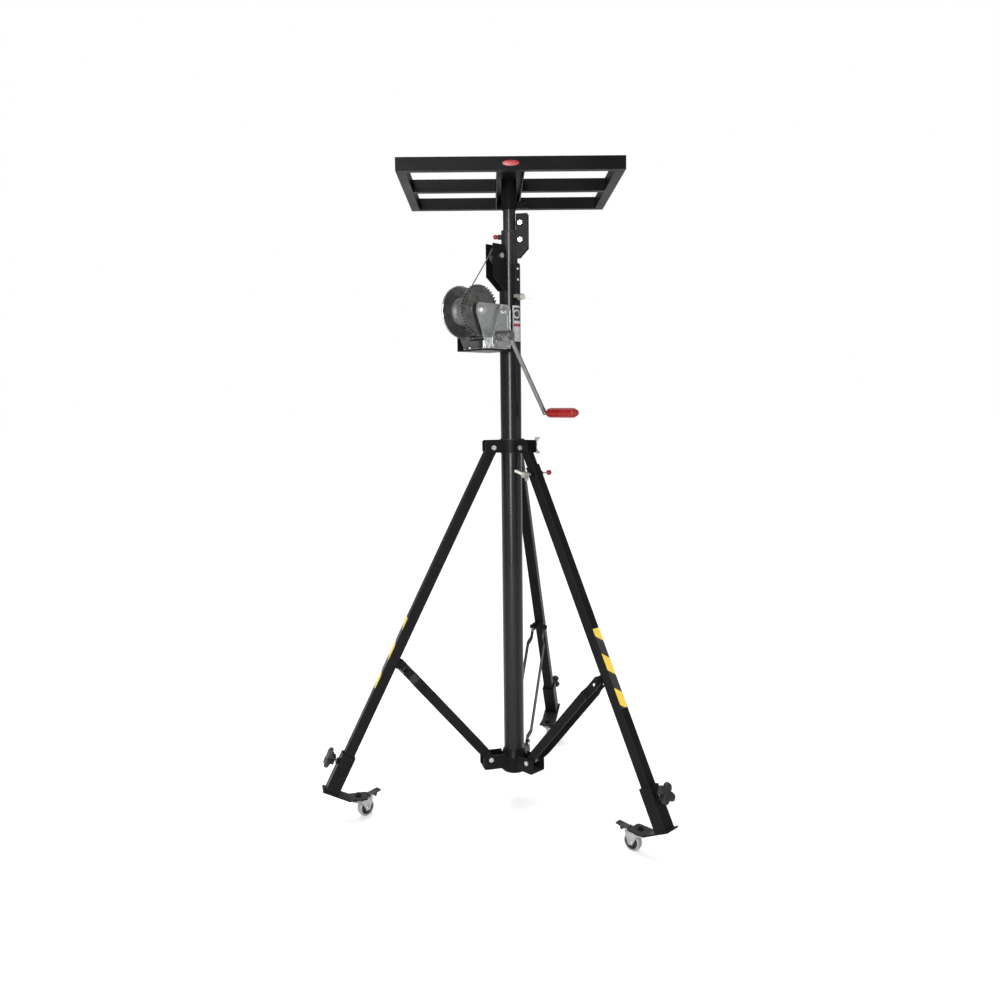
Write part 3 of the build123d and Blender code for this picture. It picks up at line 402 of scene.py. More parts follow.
def runs_of_points(runs):
    """Seed mesh of several separate lines."""
    points, edges = [], []
    for run in runs:
        first = len(points)
        points += [tuple(point) for point in run]
        edges += [(first + k, first + k + 1) for k in range(len(run) - 1)]
    mesh = bpy.data.meshes.new("runs")
    mesh.from_pydata(points, edges, [])
    return mesh


LEG_AZIMUTHS = {"rear": 74, "left": 194, "levelling": 314}
LUG_ROOT, LUG_SIDE, LUG_LOW, LUG_HIGH = 0.0305, 0.0252, 0.111, 0.139
base_welds = []
for azimuth in LEG_AZIMUTHS.values():
    spin = Matrix.Rotation(radians(azimuth), 4, "Z")
    for side in (1, -1):
        base_welds.append([spin @ Vector((LUG_ROOT, side * LUG_SIDE, LUG_LOW)),
                           spin @ Vector((LUG_ROOT, side * LUG_SIDE, LUG_HIGH))])
grown("base_collar_welds", runs_of_points(base_welds), bead_tree, {"Width": 0.005},
      leg_coat, "mast")

# ---------------------------------------------------------------------------------------------
# Legs and braces. Square steel tube, powder coated; the levelling leg is one tube inside another.
# Each brace is a pair of flat straps. Black and yellow warning tape goes on the legs' outer faces.

painted(leg_coat, "levelling_leg_inner", "rear_brace", "left_brace", "levelling_brace")
COLLAR_PIN_R, COLLAR_PIN_Z, LEG_TILT = 0.058, 1.063, 26.5


def leg_place(leg):
    """Origin on the leg's pivot, -Z down the leg, +X outwards."""
    return (Matrix.Rotation(radians(LEG_AZIMUTHS[leg]), 4, "Z")
            @ Matrix.Translation((COLLAR_PIN_R, 0, COLLAR_PIN_Z))
            @ Matrix.Rotation(radians(-LEG_TILT), 4, "Y"))


def box_mesh(low, high, place=Matrix(), round_off=0.0):
    """A block between two corners with its edges rounded off."""
    made = bmesh.new()
    bmesh.ops.create_cube(made, size=1)
    for vertex in made.verts:
        vertex.co = Vector([low[i] + (vertex.co[i] + 0.5) * (high[i] - low[i]) for i in range(3)])
    if round_off:
        bmesh.ops.bevel(made, geom=made.edges[:], offset=round_off, segments=3, affect="EDGES",
                        profile=0.6)
    made.transform(place)
    mesh = bpy.data.meshes.new("box")
    made.to_mesh(mesh)
    made.free()
    return mesh


tape_stripes, tape_in, tape_out = shared_effect(
    "tape_stripes",
    [("Position", "Vector", None), ("Across", "Vector", (1, 0, 0)), ("Pitch", "Float", 0.05),
     ("Offset", "Float", 0.0)],
    [("Colour", "Color"), ("Roughness", "Float"), ("Normal", "Vector")])
along_tape = add(tape_stripes, "ShaderNodeVectorMath",
                 {0: tape_in["Position"], 1: tape_in["Across"]}, operation="DOT_PRODUCT")
moved = add(tape_stripes, "ShaderNodeMath", {0: along_tape.outputs["Value"],
                                             1: tape_in["Offset"]}, operation="ADD").outputs[0]
counted = add(tape_stripes, "ShaderNodeMath", {0: moved, 1: tape_in["Pitch"]},
              operation="DIVIDE").outputs[0]
part_way = add(tape_stripes, "ShaderNodeMath", {0: counted}, operation="FRACT").outputs[0]
is_yellow = remapped(tape_stripes, part_way, 0.48, 0.5, 1.0, 0.0)
tape_wear = add(tape_stripes, "ShaderNodeTexNoise", {"Vector": tape_in["Position"],
                                                    "Scale": 90.0, "Detail": 7.0}).outputs[0]
rubbed = remapped(tape_stripes, tape_wear, 0.6, 0.72, 0.0, 0.7)
yellow = blended(tape_stripes, rubbed, (0.60, 0.42, 0.05, 1), (0.36, 0.25, 0.04, 1))
striped = blended(tape_stripes, is_yellow, (0.014, 0.014, 0.014, 1), yellow)
tape_stripes.links.new(striped, tape_out.inputs["Colour"])
tape_stripes.links.new(remapped(tape_stripes, tape_wear, 0.3, 0.7, 0.3, 0.5),
                       tape_out.inputs["Roughness"])
tape_normal = add(tape_stripes, "ShaderNodeBump", {"Strength": 0.08, "Distance": 0.0002,
                                                  "Height": tape_wear})
tape_stripes.links.new(tape_normal.outputs[0], tape_out.inputs["Normal"])

TAPE_FROM, TAPE_TO, TAPE_HALF, LEG_FACE = 0.545, 0.766, 0.0125, 0.015
STRIPE_REPEAT, STRIPE_LEAN, FIRST_STRIPE = 0.095, 0.7, 0.764
for leg, body in (("left", "left_leg"), ("levelling", "levelling_leg_outer")):
    place = leg_place(leg)
    slope = Vector((0, STRIPE_LEAN, 1))
    lean = place.to_3x3() @ slope.normalized()
    tape = finish_of(leg + "_tape", tape_stripes,
                     {"Across": lean, "Pitch": STRIPE_REPEAT / slope.length,
                      "Offset": FIRST_STRIPE / slope.length - place.translation.dot(lean)})
    strip = box_mesh((LEG_FACE - 0.0001, -TAPE_HALF, -TAPE_TO),
                     (LEG_FACE + 0.0002, TAPE_HALF, -TAPE_FROM), place)
    kept(leg + "_warning_tape", strip, tape, body)

# ---------------------------------------------------------------------------------------------
# Castor feet. A welded socket over each leg's end, a bent plate under it, and a braked swivel
# castor: bright zinc pressings, a black moulded wheel body with a grey tread, a black pedal.

painted(leg_coat, "rear_foot_socket", "left_foot_socket", "levelling_foot_socket")
fork_zinc = finish_of("fork_zinc", zinc_plate,
                      {"Bright": (0.36, 0.365, 0.37, 1), "Dull": (0.22, 0.225, 0.23, 1),
                       "Bloom": 90.0, "Smooth": 0.18, "Rough": 0.34}, Metallic=0.75)
STEM_R, WHEEL_R, TRAIL = 0.468, 0.0245, 0.024
TRAIL_AZIMUTHS = {"rear": -45, "left": 45, "levelling": 136}


def castor_place(leg):
    """Origin on the floor under the castor's stem, +X towards the wheel."""
    stem = Matrix.Rotation(radians(LEG_AZIMUTHS[leg]), 3, "Z") @ Vector((STEM_R, 0, 0))
    return Matrix.Translation(stem) @ Matrix.Rotation(radians(TRAIL_AZIMUTHS[leg]), 4, "Z")


def axle_place(leg):
    """Origin on the wheel's centre, +Z along the axle."""
    return (castor_place(leg) @ Matrix.Translation((TRAIL, 0, WHEEL_R))
            @ Matrix.Rotation(radians(-90), 4, "X"))


def turned_on(profile, place=Matrix(), steps=64, looped=True):
    """Mesh turned about Z from (radius, height) points, closed round the profile."""
    rings = [[(r * cos(2 * pi * k / steps), r * sin(2 * pi * k / steps), z)
              for k in range(steps)] for r, z in profile]
    return lofted(rings, place, looped)


def mirrored(half):
    """A profile and its mirror image in the wheel's middle plane, in one loop."""
    return half + [(r, -z) for r, z in reversed(half)]


tread_grey = finish_of("tread_grey", coat_skin,
                       {"Deep": (0.15, 0.155, 0.16, 1), "Raised": (0.22, 0.225, 0.23, 1),
                        "Peel": 0.5, "Dust": 0.2, "Scuffs": 0.35, "Smooth": 0.5, "Rough": 0.7})
wheel_black = finish_of("wheel_black", coat_skin,
                        {"Deep": (0.009, 0.009, 0.0095, 1), "Raised": (0.018, 0.018, 0.019, 1),
                         "Peel": 0.35, "Dust": 0.15, "Scuffs": 0.2, "Smooth": 0.35,
                         "Rough": 0.5}, Specular_IOR_Level=0.25)
rib_tree, rib_in, rib_end = growing_tree(
    "ribs_in_a_round", [("Count", "Int", 5), ("Radius", "Float", 0.01),
                        ("Size", "Vector", (0.008, 0.0016, 0.002))])
rib_circle = add(rib_tree, "GeometryNodeMeshCircle", {"Vertices": rib_in["Count"],
                                                     "Radius": rib_in["Radius"]}).outputs[0]
rib_spot = add(rib_tree, "GeometryNodeInputPosition").outputs[0]
rib_turn = add(rib_tree, "FunctionNodeAlignRotationToVector", {"Vector": rib_spot},
               axis="X").outputs[0]
rib_block = add(rib_tree, "GeometryNodeMeshCube", {"Size": rib_in["Size"]}).outputs[0]
rib_set = add(rib_tree, "GeometryNodeInstanceOnPoints",
              {"Points": rib_circle, "Instance": rib_block, "Rotation": rib_turn}).outputs[0]
ribs_and_seed = add(rib_tree, "GeometryNodeJoinGeometry")
rib_tree.links.new(rib_set, ribs_and_seed.inputs[0])
rib_tree.links.new(rib_in["Seed"], ribs_and_seed.inputs[0])
end_tree(rib_tree, ribs_and_seed.outputs[0], rib_in, rib_end)


def empty_seed():
    """Seed mesh for a tree that grows its shape from its sizes alone."""
    return bpy.data.meshes.new("empty_seed")


tread_half = [(0.0192, 0.0088), (0.0206, 0.009), (0.0226, 0.0086), (0.0238, 0.0074),
              (0.0243, 0.0052), (0.0245, 0.0022), (0.0245, 0.0008)]
body_half = [(0.00405, 0.0089), (0.0072, 0.0089), (0.0076, 0.0084), (0.0078, 0.0062),
             (0.0150, 0.0058), (0.0158, 0.0082), (0.0164, 0.0087), (0.0192, 0.0087)]
cap_profile = [(0.0001, 0.0152), (0.0035, 0.0152), (0.0052, 0.0144), (0.0058, 0.0136),
               (0.0001, 0.0136)]
race_profile = [(0.0145, 0.0542), (0.0168, 0.0546), (0.0172, 0.0560), (0.0168, 0.0574),
                (0.0145, 0.0578)]
PEDAL_X, PEDAL_Z, PEDAL_SLOPE, RIB_HALF = 0.0665, 0.0633, -7, 0.0009
FACE_RIBS = {"Count": 6, "Radius": 0.0114, "Size": (0.0074, 0.0015, 0.0024)}
FACE_RIBS_OUT = 0.0068
for leg in LEG_AZIMUTHS:
    axle = axle_place(leg)
    kept(leg + "_tread", turned_on(mirrored(tread_half), axle), tread_grey,
         leg + "_wheel", [leg + "_castor_wheel"])
    kept(leg + "_wheel_body", turned_on(mirrored(body_half), axle), wheel_black,
         leg + "_wheel")
    for side, way in (("near", 1), ("far", -1)):
        face = axle @ Matrix.Translation((0, 0, way * FACE_RIBS_OUT))
        grown(leg + "_wheel_ribs_" + side, empty_seed(), rib_tree, FACE_RIBS, wheel_black,
              leg + "_wheel", place=face)
        cap = axle @ Matrix.Rotation(0 if way == 1 else pi, 4, "X")
        kept(leg + "_axle_cap_" + side, turned_on(cap_profile, cap, 32), bolt_zinc,
             leg + "_castor")
    kept(leg + "_ball_race", turned_on(race_profile, castor_place(leg)), fork_zinc,
         leg + "_castor")
    painted(fork_zinc, leg + "_castor_fork")
    painted(wheel_black, leg + "_brake_pedal")
    pedal_top = (castor_place(leg) @ Matrix.Translation((PEDAL_X, 0, PEDAL_Z))
                 @ Matrix.Rotation(radians(PEDAL_SLOPE), 4, "Y"))
    joined = bmesh.new()
    for x in (-0.006, -0.002, 0.002, 0.006):
        joined.from_mesh(box_mesh((x - RIB_HALF, -0.009, -0.0004), (x + RIB_HALF, 0.009, 0.0009),
                                  pedal_top, 0.0004))
    pedal_ribs = bpy.data.meshes.new("pedal_ribs")
    joined.to_mesh(pedal_ribs)
    joined.free()
    kept(leg + "_pedal_ribs", pedal_ribs, wheel_black, leg + "_brake_pedal")

# ---------------------------------------------------------------------------------------------
# Clamping knobs on the feet. Four-lobed, with a crowned face, moulded in black nylon round a
# threaded zinc stud that screws through a nut welded on the socket.


def knob_place(leg):
    """Origin on the stud's axis at the leg's middle, +Z out of the knob's face."""
    return (leg_place(leg) @ Matrix.Translation((0, 0, -KNOB_FROM_PIVOT))
            @ Matrix.Rotation(radians(90), 4, "Y"))


LOBE_REACH, WAIST, LOBE_SWELL, LOBE_SHAPE = 0.0295, 0.0150, 0.0175, 1.3
KNOB_FROM_PIVOT, THREAD_FROM, THREAD_PITCH, THREADS = 1.0, 0.0162, 0.00125, 14


def lobed_ring(size, height, steps=96):
    """One ring of the knob's outline, with its four square-ended lobes on the diagonals."""
    ring = []
    for k in range(steps):
        angle = 2 * pi * k / steps
        lobe = abs(cos(2 * (angle - pi / 4)))
        reach = size * min(LOBE_REACH, WAIST + LOBE_SWELL * lobe ** LOBE_SHAPE)
        ring.append((reach * cos(angle), reach * sin(angle), height))
    return ring


knob_layers = [(0.52, 0.0320), (0.56, 0.0425), (0.9, 0.0436), (0.98, 0.0450), (1.0, 0.0475),
               (1.0, 0.0520), (0.97, 0.0545), (0.88, 0.0560), (0.6, 0.0565), (0.3, 0.0552)]
stud_profile = [(0.0005, 0.0156), (0.0030, 0.0156)]
for turn in range(THREADS):
    crest = THREAD_FROM + THREAD_PITCH * turn
    stud_profile += [(0.0039, crest), (0.0034, crest + 0.0006)]
stud_profile += [(0.0038, 0.0345), (0.0005, 0.0345)]
for leg in LEG_AZIMUTHS:
    star = lofted([lobed_ring(size, height) for size, height in knob_layers], knob_place(leg))
    kept(leg + "_knob_moulding", star, black_nylon, leg + "_star_knob",
         [leg + "_star_knob"], crease=50)
    kept(leg + "_knob_stud", turned_on(stud_profile, knob_place(leg), 24, looped=False),
         bolt_zinc, leg + "_star_knob")

# ---------------------------------------------------------------------------------------------
# Winch. Pressed steel plates, drum and gears in dull zinc; the cover's pressed rim is polished
# by handling. The drum's far rim is a lighter zinc than the drum: a painted highlight on its
# rolled edge. Grey galvanised rope is wound on the drum in one layer.

painted(leg_coat, "winch_bracket")
plate_zinc = finish_of("plate_zinc", zinc_plate,
                       {"Bright": (0.36, 0.366, 0.366, 1), "Dull": (0.24, 0.246, 0.246, 1),
                        "Bloom": 38.0, "Smooth": 0.24, "Rough": 0.42}, Metallic=0.85)
drum_zinc = finish_of("drum_zinc", zinc_plate,
                      {"Bright": (0.13, 0.133, 0.13, 1), "Dull": (0.062, 0.065, 0.062, 1),
                       "Bloom": 48.0, "Smooth": 0.3, "Rough": 0.5}, Metallic=0.8)
gear_steel = finish_of("gear_steel", zinc_plate,
                       {"Bright": (0.13, 0.13, 0.127, 1), "Dull": (0.05, 0.05, 0.048, 1),
                        "Bloom": 70.0, "Smooth": 0.25, "Rough": 0.5}, Metallic=0.85)
painted(plate_zinc, "winch_frame", "winch_cover")
painted(drum_zinc, "winch_drum")
painted(gear_steel, "drum_gear", "pinion")

winch_place = Matrix.Rotation(radians(225), 4, "Z")
DRUM_X, DRUM_Z, DRUM_FAR = 0.148, 1.440, -0.047
FLANGE_R, WRAP_R, CORE_R, ROPE_R = 0.071, 0.040, 0.024, 0.0016
drum_place = (winch_place @ Matrix.Translation((DRUM_X, 0, DRUM_Z))
              @ Matrix.Rotation(radians(-90), 4, "X"))
# The far flange's rolled rim, painted a lighter zinc than the drum as a painted highlight.
far_rim = [(FLANGE_R - 0.0025, DRUM_FAR + 0.0002), (FLANGE_R - 0.0006, DRUM_FAR - 0.0004),
           (FLANGE_R + 0.0006, DRUM_FAR + 0.0004), (FLANGE_R + 0.0008, DRUM_FAR + 0.0030),
           (FLANGE_R - 0.0004, DRUM_FAR + 0.0042), (FLANGE_R - 0.0025, DRUM_FAR + 0.0030)]
kept("drum_far_rim_painted_highlight", turned_on(far_rim, drum_place, 128), fork_zinc, "drum")

rope_steel = finish_of("rope_steel", zinc_plate,
                       {"Bright": (0.17, 0.17, 0.165, 1), "Dull": (0.06, 0.06, 0.058, 1),
                        "Bloom": 500.0, "Smooth": 0.35, "Rough": 0.55}, Metallic=0.8)
painted(rope_steel, "lifting_cable", "upper_cable")
wound_tree, wound_in, wound_end = growing_tree(
    "wound_rope", [("Turns", "Float", 19.0), ("Radius", "Float", 0.038),
                   ("Width", "Float", 0.06), ("Rope", "Float", 0.0016)])
spiral = add(wound_tree, "GeometryNodeCurveSpiral",
             {"Resolution": 48, "Rotations": wound_in["Turns"], "Start Radius": wound_in["Radius"],
              "End Radius": wound_in["Radius"], "Height": wound_in["Width"]}).outputs[0]
rope_round = add(wound_tree, "GeometryNodeCurvePrimitiveCircle",
                 {"Resolution": 8, "Radius": wound_in["Rope"]}).outputs[0]
wound = add(wound_tree, "GeometryNodeCurveToMesh", {"Curve": spiral, "Profile Curve": rope_round,
                                                    "Fill Caps": True}).outputs[0]
end_tree(wound_tree, wound, wound_in, wound_end)
WIND_FROM, WIND_TO = DRUM_FAR + 0.0043, 0.0172
grown("wound_rope", empty_seed(), wound_tree,
      {"Turns": (WIND_TO - WIND_FROM) / (2 * ROPE_R), "Radius": WRAP_R - ROPE_R,
       "Width": WIND_TO - WIND_FROM, "Rope": ROPE_R},
      rope_steel, "drum", ["cable_wrap"],
      place=drum_place @ Matrix.Translation((0, 0, WIND_FROM)))
under_rope = [(CORE_R, DRUM_FAR + 0.0026), (WRAP_R - 0.0022, DRUM_FAR + 0.0026),
              (WRAP_R - 0.0022, 0.0188), (CORE_R, 0.0188)]
kept("rope_underlayer", turned_on(under_rope, drum_place, 96), rope_steel, "drum")

# The cover's pressed rim and the dish pressed in its face are rolled beads that catch the light.

bead_rim_tree, bead_rim_in, bead_rim_end = growing_tree(
    "pressed_rim", [("Rim", "Float", 0.0016)])
rim_line = add(bead_rim_tree, "GeometryNodeMeshToCurve", {0: bead_rim_in["Seed"]}).outputs[0]
rim_soft = add(bead_rim_tree, "GeometryNodeFilletCurve",
               {"Curve": rim_line, "Radius": 0.006, "Count": 6}, mode="POLY").outputs[0]
rim_round = add(bead_rim_tree, "GeometryNodeCurvePrimitiveCircle",
                {"Resolution": 12, "Radius": bead_rim_in["Rim"]}).outputs[0]
rim_mesh = add(bead_rim_tree, "GeometryNodeCurveToMesh",
               {"Curve": rim_soft, "Profile Curve": rim_round, "Fill Caps": True}).outputs[0]
end_tree(bead_rim_tree, rim_mesh, bead_rim_in, bead_rim_end)


def closed_run(points):
    """Seed mesh of one closed line."""
    mesh = bpy.data.meshes.new("closed_run")
    mesh.from_pydata([tuple(p) for p in points],
                     [(k, (k + 1) % len(points)) for k in range(len(points))], [])
    return mesh


COVER_FACE, NEAR_PLATE_FACE, FAR_WASHER = 0.053, 0.041, -0.0546
cover_edge = [(0.0555, 1.3405), (0.1265, 1.3405), (0.1245, 1.3675), (0.0930, 1.4445),
              (0.0835, 1.4565), (0.0665, 1.4565), (0.0555, 1.4450)]
grown("cover_rim", closed_run([winch_place @ Vector((x, COVER_FACE, z)) for x, z in cover_edge]),
      bead_rim_tree, {"Rim": 0.0018}, fork_zinc, "mast")
cover_dish = [(0.066, 1.352), (0.112, 1.352), (0.104, 1.385), (0.080, 1.436), (0.066, 1.436)]
grown("cover_dish", closed_run([winch_place @ Vector((x, COVER_FACE, z)) for x, z in cover_dish]),
      bead_rim_tree, {"Rim": 0.0009}, plate_zinc, "mast")
screw_points = []
for x, z in ((0.063, 1.347), (0.119, 1.347), (0.090, 1.440)):
    screw_points.append((winch_place @ Vector((x, COVER_FACE, z)),
                         winch_place.to_3x3() @ Vector((0, 1, 0))))
grown("cover_screws", placed_points(screw_points), rivet_tree,
      {"Radius": 0.0036, "Height": 0.0020}, bolt_zinc, "mast")

washer_tree, washer_in, washer_end = growing_tree(
    "plain_washers", [("Radius", "Float", 0.008), ("Thickness", "Float", 0.0012)])
washer_disc = add(washer_tree, "GeometryNodeMeshCylinder",
                  {"Vertices": 28, "Radius": washer_in["Radius"],
                   "Depth": washer_in["Thickness"]}).outputs[0]
washer_facing = add(washer_tree, "GeometryNodeInputNamedAttribute", {"Name": "facing"},
                    data_type="FLOAT_VECTOR").outputs[0]
washer_turn = add(washer_tree, "FunctionNodeAlignRotationToVector", {"Vector": washer_facing},
                  axis="Z").outputs[0]
washers = add(washer_tree, "GeometryNodeInstanceOnPoints",
              {"Points": washer_in["Seed"], "Instance": washer_disc,
               "Rotation": washer_turn}).outputs[0]
end_tree(washer_tree, washers, washer_in, washer_end)
axle_ends = [(winch_place @ Vector((DRUM_X, y, DRUM_Z)), winch_place.to_3x3() @ Vector((0, 1, 0)))
             for y in (NEAR_PLATE_FACE + 0.0006, FAR_WASHER)]
grown("axle_washers", placed_points(axle_ends), washer_tree,
      {"Radius": 0.0125, "Thickness": 0.0014}, bolt_zinc, "mast")

# ---------------------------------------------------------------------------------------------
# Crank. A round zinc bar pinned to the pinion shaft; its red grip is a moulded sleeve with
# shallow finger grooves that spins on the bar's end.

crank_zinc = finish_of("crank_zinc", zinc_plate,
                       {"Bright": (0.17, 0.17, 0.167, 1), "Dull": (0.12, 0.12, 0.118, 1),
                        "Bloom": 60.0, "Smooth": 0.2, "Rough": 0.36}, Metallic=0.85)
painted(crank_zinc, "crank_arm")
grip_red = finish_of("grip_red", coat_skin,
                     {"Deep": (0.15, 0.005, 0.004, 1), "Raised": (0.20, 0.008, 0.006, 1),
                      "Peel": 0.2, "Dust": 0.04, "Scuffs": 0.06, "Smooth": 0.26,
                      "Rough": 0.4}, Specular_IOR_Level=0.25)
CRANK_X, CRANK_Z, CRANK_FACE = -0.04013, 1.16061, 0.108
grip_place = (winch_place @ Matrix.Translation((CRANK_X, CRANK_FACE, CRANK_Z))
              @ Matrix.Rotation(radians(-90), 4, "X"))
grip_profile = [(0.00505, 0.0002), (0.0098, 0.0002), (0.0116, 0.0012), (0.0128, 0.0040)]
for k in range(9):
    at = 0.010 + 0.009 * k
    grip_profile += [(0.0138 - 0.0006 * (k % 2), at), (0.0139, at + 0.0045)]
grip_profile += [(0.0132, 0.0930), (0.0118, 0.0970), (0.0092, 0.0995), (0.0088, 0.0996),
                 (0.0086, 0.0968), (0.00505, 0.0968)]
kept("grip_sleeve", turned_on(grip_profile, grip_place), grip_red, "crank_grip",
     ["crank_grip"])
cap_dome = [(0.0081, 0.0999), (0.0090, 0.1004), (0.0092, 0.1022), (0.0086, 0.1041),
            (0.0068, 0.1056), (0.0036, 0.1064), (0.0006, 0.1066)]
kept("grip_end_plug", turned_on(cap_dome, grip_place, 40, looped=False), grip_red, "pinion")

# ---------------------------------------------------------------------------------------------
# Pulley brackets and inner mast tubes. Bent black plates bolted and welded on the tubes; the
# tubes that slide are a little glossier, with fine rub lines from the guide rings.

painted(leg_coat, "lower_pulley_bracket", "upper_pulley_bracket")
tube_coat = finish_of("sliding_tube_coat", coat_skin,
                      {"Deep": (0.007, 0.007, 0.0078, 1), "Raised": (0.014, 0.014, 0.0152, 1),
                       "Peel": 0.1, "Dust": 0.05, "Scuffs": 0.4, "Smooth": 0.22,
                       "Rough": 0.38}, Specular_IOR_Level=0.25)
painted(tube_coat, "middle_mast_tube", "inner_mast_tube")
BRACKET_ROOT, BRACKET_SIDE, BRACKET_ENDS = 0.0266, 0.0155, (1.506, 1.574)
bracket_welds = [[winch_place @ Vector((BRACKET_ROOT, side * BRACKET_SIDE, z))
                  for z in BRACKET_ENDS] for side in (1, -1)]
grown("bracket_welds", runs_of_points(bracket_welds), bead_tree, {"Width": 0.0036},
      leg_coat, "mast")

# ---------------------------------------------------------------------------------------------
# Clamping screws and index plungers. Cast zinc wings on M8 screws; the plungers pull out by a
# pressed-on red plastic ball.

cast_zinc = finish_of("cast_zinc", zinc_plate,
                      {"Bright": (0.48, 0.46, 0.42, 1), "Dull": (0.34, 0.325, 0.295, 1),
                       "Bloom": 140.0, "Smooth": 0.28, "Rough": 0.46}, Metallic=0.8)
painted(cast_zinc, "mast_lock_screw", "collar_wing_screw", "levelling_screw")
painted(bolt_zinc, "head_plunger", "levelling_plunger")


def ball_on(direction, centre, radius):
    """A red ball with a short collar, on a pin that points along direction."""
    aim = Vector(direction).to_track_quat("Z", "Y").to_matrix().to_4x4()
    profile = [(radius * 0.62, -radius * 1.06), (radius * 0.66, -radius * 0.92)]
    for k in range(3, 17):
        angle = -pi / 2 + pi * k / 17
        profile.append(((radius + 0.0003) * cos(angle), (radius + 0.0003) * sin(angle)))
    profile.append((radius * 0.12, radius * 0.99))
    return turned_on(profile, Matrix.Translation(centre) @ aim, 40, looped=False)


HEAD_PLUNGER_AZIMUTH, HEAD_BALL_OUT, HEAD_BALL_Z = radians(192), 0.040, 1.653
plunger_way = Vector((cos(HEAD_PLUNGER_AZIMUTH), sin(HEAD_PLUNGER_AZIMUTH), 0))
head_ball_at = plunger_way * HEAD_BALL_OUT + Vector((0, 0, HEAD_BALL_Z))
kept("head_ball", ball_on(plunger_way, head_ball_at, 0.0065), grip_red, "head_plunger")
levelling_place = leg_place("levelling")
levelling_way = levelling_place.to_3x3() @ Vector((0, 1, 0))
kept("levelling_ball", ball_on(levelling_way, levelling_place @ Vector((0, 0.057, -0.082)), 0.0075),
     grip_red, "levelling_plunger")

# ---------------------------------------------------------------------------------------------
# Tray. Welded box-section rails round an open channel, powder coated as one piece. The channel
# takes the socket on the mast's top. A red foil badge with no lettering is stuck on the front.

tray_coat = finish_of("tray_powder_coat", coat_skin,
                      {"Deep": (0.003, 0.003, 0.0033, 1), "Raised": (0.0052, 0.0052, 0.0056, 1),
                       "Peel": 0.25, "Dust": 0.15, "Scuffs": 0.25, "Smooth": 0.32,
                       "Rough": 0.48}, Specular_IOR_Level=0.035)
painted(tray_coat, "tray_frame", "tray_socket")
TRAY_X, TRAY_Y, WELD_LOW, WELD_HIGH = 0.293, 0.240, 1.781, 1.807
SIDE_RAIL, END_RAIL, MIDDLE_RAIL, CHANNEL_SIDE = 0.0250, 0.0202, 0.0102, 0.0364
tray_welds = []
for side in (1, -1):
    for y in (END_RAIL - TRAY_Y, TRAY_Y - END_RAIL, -MIDDLE_RAIL, MIDDLE_RAIL):
        for x in (TRAY_X - SIDE_RAIL, CHANNEL_SIDE):
            tray_welds.append([(side * x, y, WELD_LOW), (side * x, y, WELD_HIGH)])
grown("tray_welds", runs_of_points(tray_welds), bead_tree, {"Width": 0.0042}, tray_coat,
      "inner_mast")
BADGE_WIDE, BADGE_HIGH, BADGE_Z = 0.0215, 0.0072, 1.7945
badge_rings = [[(BADGE_WIDE * size * cos(2 * pi * k / 48), -TRAY_Y - out,
                 BADGE_Z + BADGE_HIGH * size * sin(2 * pi * k / 48)) for k in range(48)]
               for size, out in ((1.0, -0.0003), (1.0, 0.0002), (0.96, 0.0004))]
kept("tray_badge", lofted(badge_rings), foil_red, "inner_mast")

# ---------------------------------------------------------------------------------------------
# Studio: a seamless pale floor, soft daylight from all round, one large soft light in front on
# the left that draws the long highlight down the mast, and a fill on the right.

floor_mesh = bpy.data.meshes.new("studio_floor")
floor_mesh.from_pydata([(-40, -40, 0), (40, -40, 0), (40, 40, 0), (-40, 40, 0)], [], [(0, 1, 2, 3)])
studio_floor = bpy.data.objects.new("studio_floor", floor_mesh)
bpy.context.scene.collection.objects.link(studio_floor)
floor_paint = bpy.data.materials.new("floor_paint")
floor_paint.use_nodes = True
floor_shader = floor_paint.node_tree.nodes["Principled BSDF"].inputs
floor_shader["Base Color"].default_value = (0.97, 0.97, 0.97, 1)
floor_shader["Roughness"].default_value = 0.9
floor_mesh.materials.append(floor_paint)

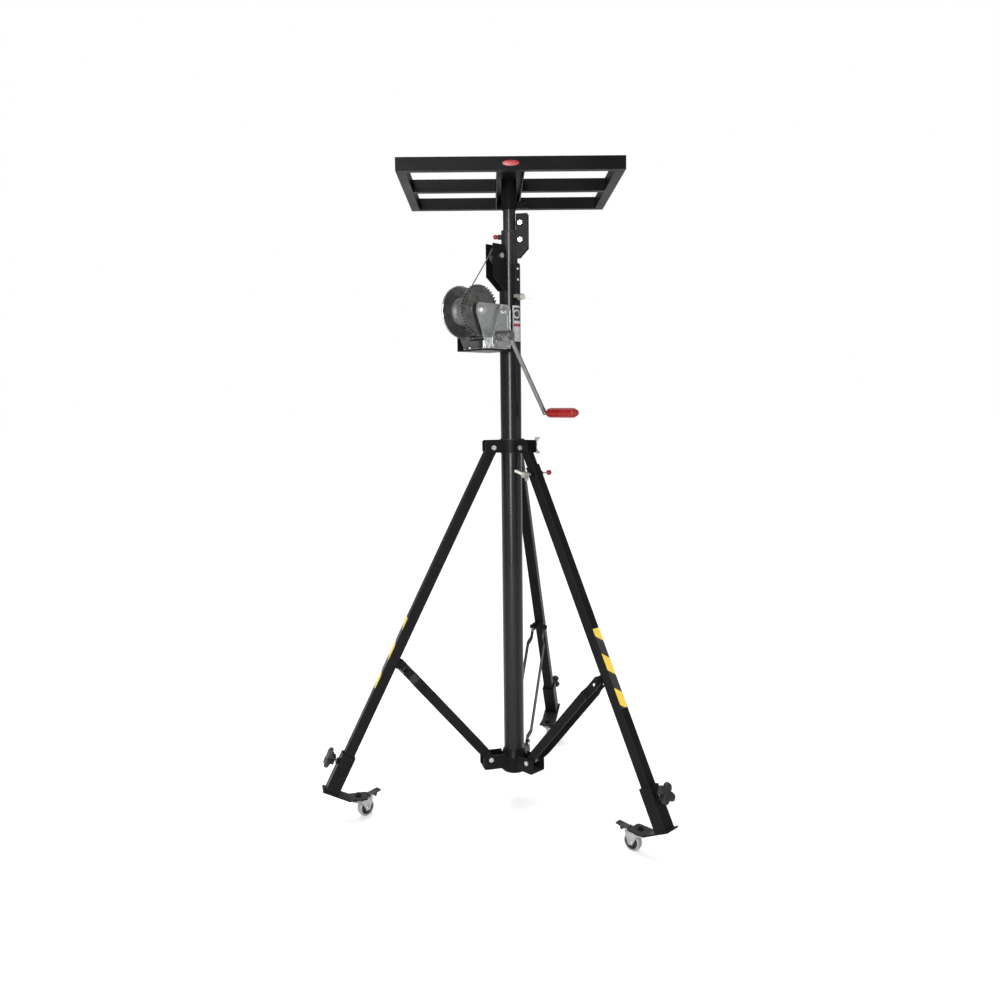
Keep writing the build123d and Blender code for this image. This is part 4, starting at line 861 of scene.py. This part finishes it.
world = bpy.data.worlds.new("studio")
bpy.context.scene.world = world
world.use_nodes = True
backdrop = world.node_tree.nodes["Background"]
seen = add(world.node_tree, "ShaderNodeLightPath").outputs["Is Camera Ray"]
world.node_tree.links.new(remapped(world.node_tree, seen, 0.0, 1.0, 0.34, 1.0),
                          backdrop.inputs["Strength"])
backdrop.inputs["Color"].default_value = (1.0, 1.0, 1.0, 1)


def soft_light(name, location, target, width, height, power):
    """A rectangular soft box aimed at a point."""
    lamp = bpy.data.lights.new(name, "AREA")
    lamp.shape, lamp.size, lamp.size_y, lamp.energy = "RECTANGLE", width, height, power
    light = bpy.data.objects.new(name, lamp)
    light.location = location
    aim = Vector(target) - Vector(location)
    light.rotation_euler = aim.to_track_quat("-Z", "Y").to_euler()
    bpy.context.scene.collection.objects.link(light)


soft_light("strip_light", (-0.70, -3.6, 1.7), (0, 0, 1.15), 0.62, 2.8, 190)
soft_light("key_light", (-2.6, -2.2, 2.6), (0, 0, 1.0), 0.9, 2.4, 14)
soft_light("fill_light", (3.0, -1.0, 1.8), (0, 0, 1.0), 0.5, 2.4, 8)
overhead = bpy.data.lights.new("overhead", "SUN")
overhead.energy, overhead.angle = 2.6, radians(60)
overhead_light = bpy.data.objects.new("overhead", overhead)
overhead_light.rotation_euler = (radians(-14), radians(-10), 0)
bpy.context.scene.collection.objects.link(overhead_light)

bpy.context.scene.view_settings.view_transform = "Standard"
CAMERA_AT = (-0.0567, -2.5495, 1.1976)
camera_data = bpy.data.cameras.new("camera")
camera_data.lens, camera_data.sensor_width = 31.68, 36.0
camera = bpy.data.objects.new("camera", camera_data)
bpy.context.scene.collection.objects.link(camera)
yaw, pitch, roll = radians(0.50), radians(6.47), radians(0.63)
forward = Vector((sin(yaw) * cos(pitch), cos(yaw) * cos(pitch), -sin(pitch)))
level_right = Vector((cos(yaw), -sin(yaw), 0))
level_up = level_right.cross(forward)
right = level_right * cos(roll) - level_up * sin(roll)
up = level_up * cos(roll) + level_right * sin(roll)
camera.matrix_world = (Matrix.Translation(CAMERA_AT)
                       @ Matrix((right, up, -forward)).transposed().to_4x4())
bpy.context.scene.camera = camera
